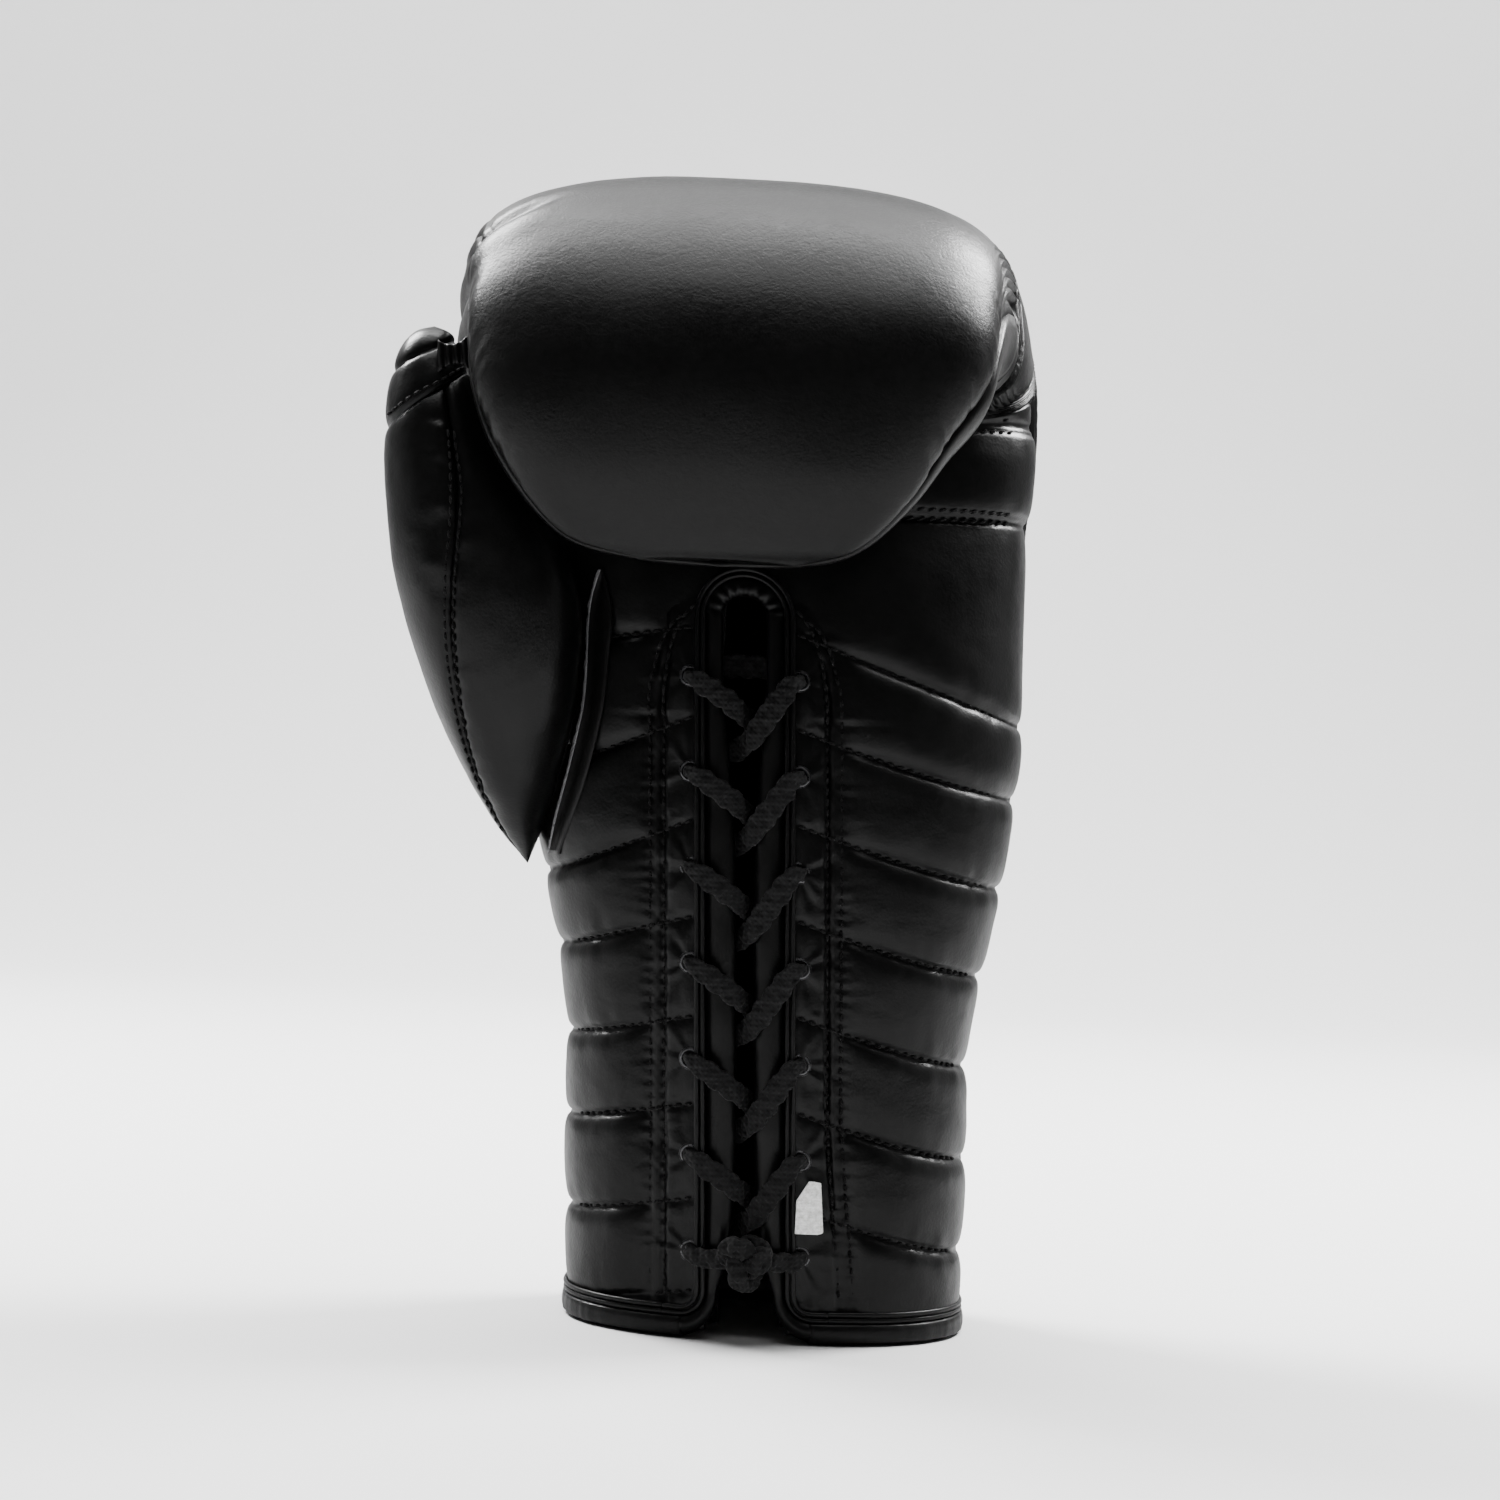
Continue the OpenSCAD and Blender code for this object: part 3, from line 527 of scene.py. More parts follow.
def palm_height(x, z):
    """Height of the padded palm leather over the plain surface."""
    rel = x - SLOT_X
    ax = np.abs(rel)
    h = np.zeros_like(x)
    for side in (1, -1):
        rows = rows_of(side, x)
        top = rows[-1]
        below, above, dz = cell_of(rows, z)
        u = (z - below) / np.maximum(above - below, 1)
        vert = (0.86 * (1 - np.exp(-dz / 2.1)) + 0.24 * np.sin(np.pi * np.clip(u, 0, 1)) * (z < top)
                + 0.2 * (z >= top) * ease(z, top, top + 12))
        # the padding stands proudest just under each sewn line
        vert = vert + 0.1 * bell(above - z - 4.5, 4.0) * (above < 900)
        pits = 0.5 + 0.5 * np.cos(2 * np.pi * x / STITCH_PITCH)
        groove = (0.45 + 0.3 * pits) * bell(dz, 0.9)
        d = column_gap(side, ax, z)
        out = -1.7 + 2.2 * vert * (1 - np.exp(-np.maximum(d - SEAM_HALF, 0) / 3.4)) - groove * ease(d, 2, 4)
        inn = -1.7 + (0.9 + 0.7 * vert) * (1 - np.exp(-np.maximum(-d - SEAM_HALF, 0) / 1.8)) - 0.5 * groove
        pits = 0.5 + 0.5 * np.cos(2 * np.pi * z / STITCH_PITCH)
        across = np.clip(d, -SEAM_HALF, SEAM_HALF) / SEAM_HALF
        band = -2.2 - 0.35 * pits + (1.1 + 0.5 * pits) * (1 - across ** 2)
        part = np.where(d > SEAM_HALF, out, np.where(d < -SEAM_HALF, inn, band))
        part = part - (0.25 + 0.35 * pits) * bell(np.abs(d) - SEAM_HALF, 0.85)
        arch = 0.75 * ease(z, 164, 180) * (1 - ease(ax, 20, 30))
        part = part * (1 - arch) - 0.7 * arch
        h = np.where(rel * side > 0, part, h)
    # the roll over the grip bar and the double seams beside it
    dip = 1.2 * (x / 60)
    low, high = ROLL_LOW + dip, ROLL_HIGH + dip * 2.2 + 2.5 * ease(x, 30, 66)
    fall = np.exp(-np.abs(z - low) / 6.5) * ease(z, 190, 204)
    h = np.where(z <= low, h * (1 - fall) - 2.0 * fall, h)
    h = np.where((z > low) & (z < high), -2.0 + 3.4 * pillow((z - low) / (high - low), 0.5), h)
    fall = np.exp(-np.abs(z - high) / 8)
    h = np.where(z >= high, 1.0 * (1 - fall) - 2.0 * fall, h)
    for line in (low - 1.1, low + 1.1, high - 1.3, high + 1.3):
        h = h - 0.5 * bell(z - line, 0.7)
    # flat beside the slot's piping and under the hem
    arc = np.hypot(rel, np.maximum(z - ARC_Z, 0))
    near = np.where(z < ARC_Z, ax, arc)
    return h * ease(near, 11.0, 16.0) * ease(z, 3.6, 10) - 0.35 * (1 - ease(near, 12.5, 15.0))


def palm_gather(x, z, p):
    """Small gathers that run off the seams."""
    rel = x - SLOT_X
    ax = np.abs(rel)
    g = np.zeros_like(x)
    fade = 1 - ease(z, 178, 190)
    for side in (1, -1):
        on = (rel * side > 0) * fade
        d = column_gap(side, ax, z)
        w1 = (noise_at(z / 1.5, np.sign(d), 3 * side, 11) * 0.55
              + noise_at(z / 1.05, rel / 5, 5 * side, 12) * 0.45)
        g = g + on * 0.46 * w1 * np.exp(-np.abs(d) / 3.6) * ease(np.abs(d), 0.4, 1.8)
        dz = np.abs(rows_of(side, x) - z).min(0)
        w2 = noise_at(x / 2.3, np.round(z / 24), side, 13) * 0.6 + noise_at(x / 1.4, z / 8, side, 14) * 0.4
        g = g + on * 0.62 * w2 * np.exp(-dz / 4.0) * ease(dz, 0.3, 1.6)
        for q in range(7):
            ez = EYE_Z + PITCH * q
            r = np.hypot(ax - 14, z - ez)
            ang = np.arctan2(z - ez, ax - 14)
            g = g + on * 0.45 * noise_at(ang * 3.2, q, side, 15) * np.exp(-((r - 5) / 4.5) ** 2)
    for line in (ROLL_LOW + x / 50, ROLL_HIGH + x / 23 + 2.5 * ease(x, 30, 66)):
        away = np.abs(z - line)
        g = g + 0.4 * noise_at(x / 2.4, line / 9, 0, 16) * np.exp(-away / 4.0) * ease(away, 1.4, 2.8)
    return g * ease(np.abs(rel), 13, 16) + 0.14 * fbm(p, 9.0, 20, 3) + 0.4 * fbm(p, 30.0, 24, 2)


# ---------------- padded panels
COARSE = 4
RIM_T, UNDER_T = 0.13, 12.63  # stations where the panels and the underside of the roll start
LINING_GAP = 1.1  # from the padding to the pocket
FOLD_T = 12.6  # station of the fold under the roll
OPEN_A, OPEN_B = 233.0, 257.0  # angles of the opening between the pockets of the hand and the thumb


def spread(stops, cells):
    """Rows of numbers between the stops, with the given number of cells in each stretch."""
    out = [stops[0][None] if np.ndim(stops[0]) else np.array([stops[0]], float)]
    for a, b, n in zip(stops[:-1], stops[1:], cells):
        u = (np.arange(1, n + 1) / n)
        out.append(a + (b - a) * (u.reshape(-1, *([1] * np.ndim(a)))))
    return np.concatenate(out)


def grid_normals(p):
    n = np.cross(np.gradient(p, axis=0), np.gradient(p, axis=1))
    n = unit(n)
    centre = p.mean(1, keepdims=True)
    return n * np.sign(((p - centre) * n).sum() or 1)


def padded_mesh(outer, inner, hole=None, k=COARSE):
    """Closed form with a fine outer face and a coarse inner one; hole marks coarse cells left out."""
    rows, cols = outer.shape[:2]
    R, C = (rows - 1) // k, (cols - 1) // k
    hole = np.zeros((R, C), bool) if hole is None else hole
    low = inner[::k, ::k]
    base = rows * cols
    fine_hole = np.repeat(np.repeat(hole, k, 0), k, 1)
    f = grid_faces(rows, cols).reshape(rows - 1, cols - 1, 4)[~fine_hole]
    g = grid_faces(R + 1, C + 1).reshape(R, C, 4)[~hole] + base
    faces = f.tolist() + g[:, ::-1].tolist()

    def fi(i, j):
        return i * cols + j

    def gi(i, j):
        return base + i * (C + 1) + j
    solid = np.pad(~hole, 1)
    for i in range(R):
        for j in range(C):
            if hole[i, j]:
                continue
            a, b = i * k, j * k
            if not solid[i, j + 1]:
                faces.append([fi(a, b + q) for q in range(k, -1, -1)] + [gi(i, j), gi(i, j + 1)])
            if not solid[i + 2, j + 1]:
                faces.append([fi(a + k, b + q) for q in range(k + 1)] + [gi(i + 1, j + 1), gi(i + 1, j)])
            if not solid[i + 1, j]:
                faces.append([fi(a + q, b) for q in range(k + 1)] + [gi(i + 1, j), gi(i, j)])
            if not solid[i + 1, j + 2]:
                faces.append([fi(a + q, b + k) for q in range(k, -1, -1)] + [gi(i, j + 1), gi(i + 1, j + 1)])
    verts = np.concatenate([outer.reshape(-1, 3), low.reshape(-1, 3)])
    used = np.zeros(len(verts), bool)
    for q in faces:
        used[q] = True
    index = np.cumsum(used) - 1
    return verts[used], [[int(index[v]) for v in q] for q in faces]


def padded_object(name, outer, inner, material, nodes, body="hand", hole=None):
    obj = add_object(name, padded_mesh(leaned(outer), leaned(inner), hole), material, body, "leather", *nodes)


def on_grid(t_rows, deg):
    """Stations, angles, points and normals of the outer surface on a grid."""
    t, deg = np.broadcast_arrays(t_rows[:, None], deg)
    p = mitt(t, deg)
    return t, deg, p, grid_normals(p)


def toward_cavity(t, deg, p, depth):
    b = cavity(t, deg)
    return p + unit(b - p) * depth[..., None]


def wall(t, deg):
    return np.linalg.norm(mitt(t, deg) - cavity(t, deg), axis=-1)


def slot_edge(z):
    arc = np.sqrt(np.maximum(SLOT_HALF ** 2 - (z - ARC_Z) ** 2, 6.25))
    return np.where(z <= ARC_Z, SLOT_HALF, np.where(z <= 194, np.maximum(arc, 2.5),
                                                    2.5 + 8 * ease(z, 194, 215)))


ARC_T = [float(palm_station(SLOT_X, ARC_Z + SLOT_HALF * math.sin(math.radians(w)))[0])
         for w in np.linspace(0, 90, 13)]
SLOT_END = ARC_T[-1]


def side_seam(t):
    """Angle of the seam at the side away from the thumb; over the fist it moves on to the palm's ear."""
    return (90 + 11 * ease(t, 8.2, 9.6) * (1 - ease(t, 12.0, 12.6))
            + 40 * ease(t, 10.7, 11.6) * (1 - ease(t, 11.8, 12.6)))


def openings(cell_t, cols, slot, thumb):
    """Cells left out for the slot and for the way into the thumb, each between two columns."""
    hole = np.zeros((len(cell_t), cols), bool)
    hole[cell_t < SLOT_END, slot[0]:slot[1]] = True
    hole[np.ix_((cell_t > 6) & (cell_t < ARC_T[0]), range(*thumb))] = True
    return hole


# palm side: quilted cuff, heel of the palm, roll over the grip bar and the crease
t_rows = np.concatenate([np.linspace(RIM_T, 6, 185), np.linspace(6, ARC_T[0], 45)[1:], ARC_T[1:],
                         np.linspace(SLOT_END, 9.4, 41)[1:], np.linspace(9.4, 10.6, 37)[1:],
                         np.linspace(10.6, FOLD_T, 33)[1:]])
edge = slot_edge(spline(MITT, np.minimum(t_rows, 11))[:, 3])
seam = side_seam(t_rows)
stops = [seam + 0.3, seam + 21.7, np.maximum(palm_angle(t_rows, SLOT_X + 23), seam + 30),
         np.maximum(palm_angle(t_rows, SLOT_X + edge), seam + 36), palm_angle(t_rows, SLOT_X - edge),
         palm_angle(t_rows, SLOT_X - 23), np.full_like(t_rows, OPEN_A), np.full_like(t_rows, OPEN_B),
         np.full_like(t_rows, 269.7)]
cells = [20, 32, 24, 20, 24, 16, 16, 12]
T, deg, p, nrm = on_grid(t_rows, spread(stops, cells).T)
h = palm_height(p[..., 0], p[..., 2]) + palm_gather(p[..., 0], p[..., 2], p)
h = h * (1 - ease(T, 11.2, 12.0))
side = np.minimum(deg - seam[:, None], 270 - deg)
h = h * (1 - 0.45 * np.exp(-side / 13)) - 1.5 * np.exp(-side / 2.0)
h = h * ease(T, 0.1, 0.45)
outer = p + nrm * h[..., None]
ax = np.abs(p[..., 0] - SLOT_X)
near = np.where(p[..., 2] < ARC_Z, ax, np.hypot(ax, (p[..., 2] - ARC_Z) / 0.72))
near = np.where(T > 9, 99, near)
thick = 1.5 + (wall(T, deg) - LINING_GAP - 1.5) * ease(near, 21.0, 26.0)
inner = toward_cavity(T, deg, p, thick)
cell_t = (t_rows[::COARSE][:-1] + t_rows[::COARSE][1:]) / 2
starts = np.concatenate([[0], np.cumsum(cells)]) // COARSE
hole = openings(cell_t, (deg.shape[1] - 1) // COARSE, starts[3:5], starts[6:8])
padded_object("palm_quilted", outer, inner, LEATHER, ["palm_panel", "right_cuff_pad", "left_cuff_pad",
                                                      "palm_pad", "crease_pad", "grip_bar"], hole=hole)


# back of the hand, knuckles and the folded roll: one skin over its foam
def pleats(angle, t, fan, wander, seed):
    """Rounded folds with sharp valleys, side by side over the angle."""
    phase = angle / fan + wander * noise_at(t * 1.6, angle / 13, 0, seed)
    return 1 - np.abs(np.mod(phase, 1) * 2 - 1) ** 1.6


def shell_height(t, deg, p, right):
    """deg from -90, the thumb side, to the seam; right is the angle left to that seam."""
    left = 90 + deg
    h = -1.0 * np.exp(-right / 2.5) - 1.0 * np.exp(-left / 2.5) * (1 - 0.4 * ease(t, 15, 16))
    h = h - 1.2 * np.exp(-(t - 5.02) / 0.1)
    # dense gathered pleats on the side away from the thumb, drawn together at the grip bar's end
    span = 30 + 10 * noise_at(t * 2.1, 3, 0, 32) - 10 * ease(t, 12.5, 15.5)
    w = ease(t, 8.0, 9.0) * (1 - ease(t, 13.0, 15.4)) * (1 - ease(right, 0.45 * span, span))
    h = h + w * (1.8 * pleats(101 - deg, t, 2.7 + 0.28 * (t - 8.6), 0.28, 31) - 1.4)
    # longer pleats on the thumb side
    reach = 36 - 6 * noise_at(t * 2.3, 7, 0, 34)
    w = ease(t, 9.0, 10.2) * (1 - ease(t, 13.6, 14.8)) * (1 - ease(left, 14, reach))
    h = h + w * (2.0 * pleats(left, t, 5.0 + 1.1 * np.abs(t - 10.5), 0.3, 33) - 1.3)
    # the tuck at the corner of the roll
    line = 14.52 + 0.08 * np.sin((deg + 70) / 12)
    depth = 1.5 * (1 - ease(deg, -50, -26)) * ease(deg, -88, -78)
    h = h - depth * np.exp(-((t - line) / 0.1) ** 2) + 0.3 * depth * np.exp(-((t - line - 0.32) / 0.22) ** 2)
    # fine creases at both ends of the roll
    c = (noise_at(t * 8 + deg / 24, deg / 18, 0, 35) * (1 - ease(left, 8, 34))
         + 0.8 * noise_at(t * 8 - deg / 26, deg / 20, 0, 36) * (1 - ease(right, 6, 24)))
    h = h + 0.38 * c * ease(t, 14.0, 15.2) * (1 - ease(t, 17.6, 18.6))
    low = noise(np.stack([t * 1.1, deg / 34, np.zeros_like(t)], -1), 38)
    h = (h + 0.9 * low * ease(t, 6, 8) * (1 - 0.45 * ease(t, 14, 16))
         + 0.05 * fbm(p, 7.0, 40, 2) * (1 - 0.6 * ease(t, 13.5, 15)))
    # the last rows turn in to the seam with the underside
    return h * (1 - ease(t, 19.2, 20))


t_rows = np.linspace(5.03, 20, 273)
limit = side_seam(t_rows)[:, None]
share_ = np.concatenate([np.linspace(0, 0.22, 41), np.linspace(0.22, 0.72, 45)[1:],
                         np.linspace(0.72, 1, 101)[1:]])[None, :]
T, deg, p, nrm = on_grid(t_rows, -90 + (limit + 90) * share_)
outer = p + nrm * shell_height(T, deg, p, limit - deg)[..., None]
inner = toward_cavity(T, deg, p, np.maximum(wall(T, deg) - LINING_GAP, 0.8))
padded_object("knuckle_cover", outer, inner, LEATHER_SMOOTH, ["knuckle_shell", "knuckle_foam_outer",
                                                              "knuckle_foam_core", "knuckle_foam_inner",
                                                              "fingertip_pad"])

# underside of the roll, hidden in the fold
T, deg, p, nrm = on_grid(np.linspace(UNDER_T, 20, 61), np.linspace(90.4, 269.6, 65))
side = np.minimum(deg - 90, 270 - deg)
h = -0.8 * np.exp(-side / 3) + 0.3 * fbm(p, 14.0, 50, 2)
outer = p + nrm * (h * (1 - ease(T, 19.2, 20)))[..., None]
inner = toward_cavity(T, deg, p, np.maximum(wall(T, deg) - LINING_GAP, 0.5))
padded_object("roll_underside", outer, inner, LEATHER, ["roll_underside_panel", "roll_underside_pad"])


# back of the cuff
def back_height(x, z, deg, p):
    side = np.minimum(90 - deg, 90 + deg)
    rows = np.stack([ROW0 - 3 + PITCH * k - 0.0022 * x ** 2 for k in range(-1, 4)])
    below, above, dz = cell_of(rows, z)
    above = np.where(above > 900, 130.0, above)
    cell = pillow((z - below) / np.maximum(above - below, 1)) * (1 - np.exp(-side / 6))
    g = 0.34 * noise_at(x / 3.2, np.round(z / 24), 0, 51) * np.exp(-dz / 5.0)
    return 3.4 * (cell - 0.7) + g - 1.0 * np.exp(-side / 2.2) + 0.16 * fbm(p, 9.0, 52, 3)


T, deg, p, nrm = on_grid(np.linspace(RIM_T, 5.0, 97), np.linspace(-90, 90, 113))
h = back_height(p[..., 0], p[..., 2], deg, p) * ease(T, 0.1, 0.45) - 1.0 * np.exp(-(5.0 - T) / 0.1)
outer = p + nrm * h[..., None]
inner = toward_cavity(T, deg, p, wall(T, deg) - LINING_GAP)
padded_object("back_cuff", outer, inner, LEATHER, ["back_cuff_panel", "back_wrist_pad"])


# ---------------- thumb
def thumb_turn(s):
    return -46 + 76 * ease(s, 0.5, 8)


def thumb_angle(s, phi0):
    lean = thumb_turn(s) * np.sin(np.radians((phi0 - 120) * 0.75))
    return phi0 + np.where((phi0 > 120) & (phi0 < 360), lean, 0)


def thumb_axis(s):
    q = spline(THUMB, s)
    return np.stack([(q[..., 1] + q[..., 2]) / 2, q[..., 3], q[..., 0]], -1)


def thumb_skin(s, deg):
    q = spline(THUMB, s)
    c, r = spow(np.cos(np.radians(deg)), 0.9), spow(np.sin(np.radians(deg)), 0.9)
    x = (q[..., 1] + q[..., 2]) / 2 + (q[..., 2] - q[..., 1]) / 2 * c
    y = q[..., 3] + q[..., 4] * r
    st, an = palm_station(x, q[..., 0])
    return np.stack([x, np.minimum(y, mitt(st, an)[..., 1] - 1.1), q[..., 0]], -1)


def thumb_core(s, deg, extra=0.0):
    q = spline(THUMB, s)
    hw = np.maximum((q[..., 2] - q[..., 1]) / 2 - 11, 0.3) + extra
    hd = np.maximum(q[..., 4] - 9.5, 0.3) + extra
    return np.stack([(q[..., 1] + q[..., 2]) / 2 - 0.5 + hw * np.cos(np.radians(deg)),
                     q[..., 3] - 2.5 + hd * np.sin(np.radians(deg)), 128 + (q[..., 0] - 117) * 0.82], -1)


def tip_seam(deg, which=0):
    return (7.0 + 0.65 * np.cos(np.radians(deg))) if which == 0 else (8.15 + 0.6 * np.cos(np.radians(deg)))


FRONT_SEAM = 262  # angle of the thumb's front seam
NO_SEAM = 1000  # added to the angle of the thumb's tip, which has no such seam


def thumb_height(s, phi0, deg, p):
    front = phi0 - FRONT_SEAM
    back_side = np.minimum(np.abs(phi0 - 100), np.abs(phi0 - 460))
    h = -1.5 * np.exp(-np.abs(front) / 3.6) - 1.2 * np.exp(-back_side / 4.0)
    # gathers on the outer side of the front seam
    w = np.exp(-np.abs(front + 11) / 9.0) * (front < 0) * ease(s, 3.4, 4.2) * (1 - ease(s, 6.2, 6.9))
    h = h + 1.0 * w * noise_at(s * 6.5 + front / 60, front / 30, 0, 61)
    w = np.exp(-np.abs(front - 6) / 7.0) * (front > 0) * (1 - ease(s, 6.2, 6.9))
    h = h + 0.45 * w * noise_at(s * 7.5, front / 20, 0, 62)
    for which in (0, 1):
        d = s - tip_seam(deg, which)
        h = h - 1.15 * np.exp(-np.abs(d) / 0.11)
    return h + 0.14 * fbm(p, 8.0, 63, 3) + 0.5 * noise(p / 34.0, 64)


def thumb_part(name, phi_a, phi_b, n_cols, tip, nodes, hole_fn=None):
    n_rows = 48 if tip else 112
    phi0 = np.linspace(phi_a, phi_b, n_cols + 1)[None, :]
    r = np.linspace(0, 1, n_rows + 1)[:, None]
    s = 7.0 * r + 0 * phi0
    for _ in range(4):
        d = thumb_angle(s, phi0) if not tip else phi0 + 0 * s
        b = tip_seam(d)
        s = (b + 0.02 + (9.99 - b) * r) if tip else (0.01 + (b - 0.03) * r)
    d = thumb_angle(s, phi0) if not tip else phi0 + 0 * s
    p = thumb_skin(s, d)
    n = grid_normals(p)
    centre = thumb_axis(s)
    flip = np.sign(((p - centre) * n).sum(-1).mean())
    h = thumb_height(s, phi0 if not tip else phi0 + 0 * s + NO_SEAM, d, p)
    fade = ease(s, 0.05, 0.5) * (1 - ease(s, 9.3, 9.9))
    h = np.where(p[..., 1] > centre[..., 1] + 2, np.minimum(h, 0.3), h) * fade
    out = p + n * flip * h[..., None]
    core = thumb_core(s, d)
    depth = np.maximum(np.linalg.norm(core - p, axis=-1) - LINING_GAP, 0.4)
    inn = p + unit(core - p) * depth[..., None]
    hole = None
    if hole_fn:
        sc = (s[::COARSE, ::COARSE][:-1, :-1] + s[::COARSE, ::COARSE][1:, 1:]) / 2
        pc = (phi0[0, ::COARSE][:-1] + phi0[0, ::COARSE][1:])[None, :] / 2 + 0 * sc
        hole = hole_fn(sc, pc)
    padded_object(name, out, inn, LEATHER, nodes, "thumb", hole)


thumb_part("thumb_outer", 100, FRONT_SEAM, 100, False, ["thumb_outer_panel"])
thumb_part("thumb_inner", FRONT_SEAM, 460, 100, False, ["thumb_inner_panel", "thumb_foam"],
           lambda s, a: (s > 2) & (s < 4) & (a > 362) & (a < 435))
thumb_part("thumb_tip", 0, 359.9, 96, True, ["thumb_tip_panel"])


# ---------------- linings
def lining_piece(name, t_rows, deg_cols, cad_node, holes=None):
    t_rows = np.asarray(t_rows, float)
    T, D = np.broadcast_arrays(t_rows[:, None], deg_cols)
    b = cavity(T, D)
    a = mitt(T, D)
    d = unit(a - b)
    ripple = 0.5 * noise(b / 13.0, 70) + 0.3 * noise(b / 6.0, 71)
    face = b + d * 0.95
    back_face = b + d * np.minimum(0.1 + 0.35 * (ripple + 0.8), 0.6)[..., None]
    add_object(name, shell_mesh(leaned(face), leaned(back_face), True, holes), LINING, "hand", "lining",
               cad_node)


t_rows = np.concatenate([np.linspace(RIM_T, 6, 49), np.linspace(6, ARC_T[0], 13)[1:], np.array(ARC_T[3::3]),
                         np.linspace(SLOT_END, FOLD_T, 33)[1:]])
edge = slot_edge(spline(MITT, np.minimum(t_rows, 11))[:, 3])
stops = [np.full_like(t_rows, 0.0), palm_angle(t_rows, SLOT_X + edge), palm_angle(t_rows, SLOT_X - edge),
         np.full_like(t_rows, OPEN_A), np.full_like(t_rows, OPEN_B), np.full_like(t_rows, 360.0)]
deg = spread(stops, [36, 6, 12, 6, 20]).T[:, :-1]
cell_t = (t_rows[:-1] + t_rows[1:]) / 2
hole = openings(cell_t, deg.shape[1], (36, 42), (54, 60))
lining_piece("lining_hand", t_rows, deg, "hand_lining", hole)
lining_piece("lining_fingers", np.linspace(UNDER_T, 18.7, 40), np.linspace(0, 360, 61)[None, :-1],
             "finger_lining")

s_rows = np.linspace(0.02, 9.98, 61)[:, None]
phi0 = np.linspace(0, 360, 57)[None, :-1]
D = thumb_angle(s_rows + 0 * phi0, phi0 + 0 * s_rows)
S = s_rows + 0 * phi0
core, skin = thumb_core(S, D), thumb_skin(S, D)
d = unit(skin - core)
hole = ((S[:-1] > 2) & (S[:-1] < 3.98) & (phi0 < 73))
back_face = core + d * (0.2 + 0.15 * (1 + noise(core / 6.0, 72)))[..., None]
add_object("lining_thumb", shell_mesh(leaned(core + d * 0.92), leaned(back_face), True, hole), LINING,
           "thumb", "lining", "thumb_lining")


# ---------------- hem of the cuff
def palm_at(rel, z):
    """Point and outward normal on the palm side; rel is measured from the middle of the slot."""
    rel, z = floats(rel, z)
    st, an = palm_station(rel + SLOT_X, z)
    p = mitt(st, an)
    p = np.stack([rel + SLOT_X, p[..., 1], z], -1)
    a, b = palm_station(rel + SLOT_X + 0.5, z), palm_station(rel + SLOT_X, z + 0.5)
    du = mitt(*a) - mitt(st, an)
    dv = mitt(*b) - mitt(st, an)
    return p, unit(np.cross(du, dv))


def on_palm(rel, z, depth):
    q = palm_at(rel, z)[0]
    q[..., 1] += depth
    return q


def palm_tube(rings):
    """Tube whose rings are (from the slot's middle, height, depth) on the palm side."""
    return tube_mesh(leaned(on_palm(*np.moveaxis(np.array(rings), -1, 0))))


edge_r = float(palm_angle(np.array(0.1), np.array(SLOT_X + 16.0)))
edge_l = float(palm_angle(np.array(0.1), np.array(SLOT_X - 16.0)))
hem_deg = np.linspace(edge_l, 360 + edge_r, 289)

# cross-section of the hem's fold as (depth, height): measured in from the skin, then out past the lining
HEM_OUT = [(-0.1, 5.1), (-0.75, 5.2), (-1.25, 4.7), (-1.5, 3.4), (-1.55, 2.1), (-1.35, 0.8), (-0.7, 0.12),
           (0.8, 0.0)]
HEM_IN = [(-0.8, 0.0), (0.5, 0.12), (1.05, 0.8), (1.3, 2.6), (1.25, 4.8), (0.9, 6.7), (0.4, 7.1), (0.12, 6.9),
          (0.12, 1.5)]


def hem_ring(deg):
    wob = 0.18 * noise_at(deg / 7, 0, 0, 80) + 0.1 * noise_at(deg / 2.2, 0, 0, 81)
    steps = [(d - wob * (d < -0.5), z, 0) for d, z in HEM_OUT]
    steps += [(d, z, 1) for d, z in HEM_IN] + [(-0.12, 1.5, 0)]
    ring = []
    for d, z, past_wall in steps:
        a, b = mitt(np.array(z / STATION), deg), cavity(np.array(z / STATION), deg)
        q = a + unit(b - a) * (d + past_wall * np.linalg.norm(b - a))
        ring.append([q[0], q[1], z])
    return ring


rings = [hem_ring(deg) for deg in hem_deg]
add_object("hem_fold", tube_mesh(leaned(np.array(rings))), EDGE, "hand", "leather", "hem_binding")

# ---------------- strips, welts and cords round the slot
GAP = np.array([[0, 9], [10, 7.5], [20, 4.4], [34, 2.6], [60, 2.1], [110, 2.1], [131, 2.6], [152, 4.2],
                [168, 5.5], [184, 5.5]], float)


def gap_at(z):
    return np.interp(z, GAP[:, 0], GAP[:, 1])


# the binding turns from the hem into the slot round this point: from the slot's middle, and its height
CORNER_X, CORNER_Z = 16.75, 12.0
CORD_IN, CORD_OUT = 10.75, 12.25  # offsets of the two cords
FACE_TOP = 184  # height of the middle of the facing's turn over the top


def slot_path(n_straight=150, n_arc=44, low=CORNER_Z):
    """Steps round the slot as (part, height or angle): up the right, over the top, down the left."""
    z = np.linspace(low, FACE_TOP, n_straight)
    w = np.linspace(0, 180, n_arc + 2)[1:-1]
    turn = np.linspace(90, 0, 16)[:-1]
    return ([("cr", v) for v in turn] + [("r", v) for v in z] + [("a", v) for v in w]
            + [("l", v) for v in z[::-1]] + [("cl", v) for v in turn[::-1]])


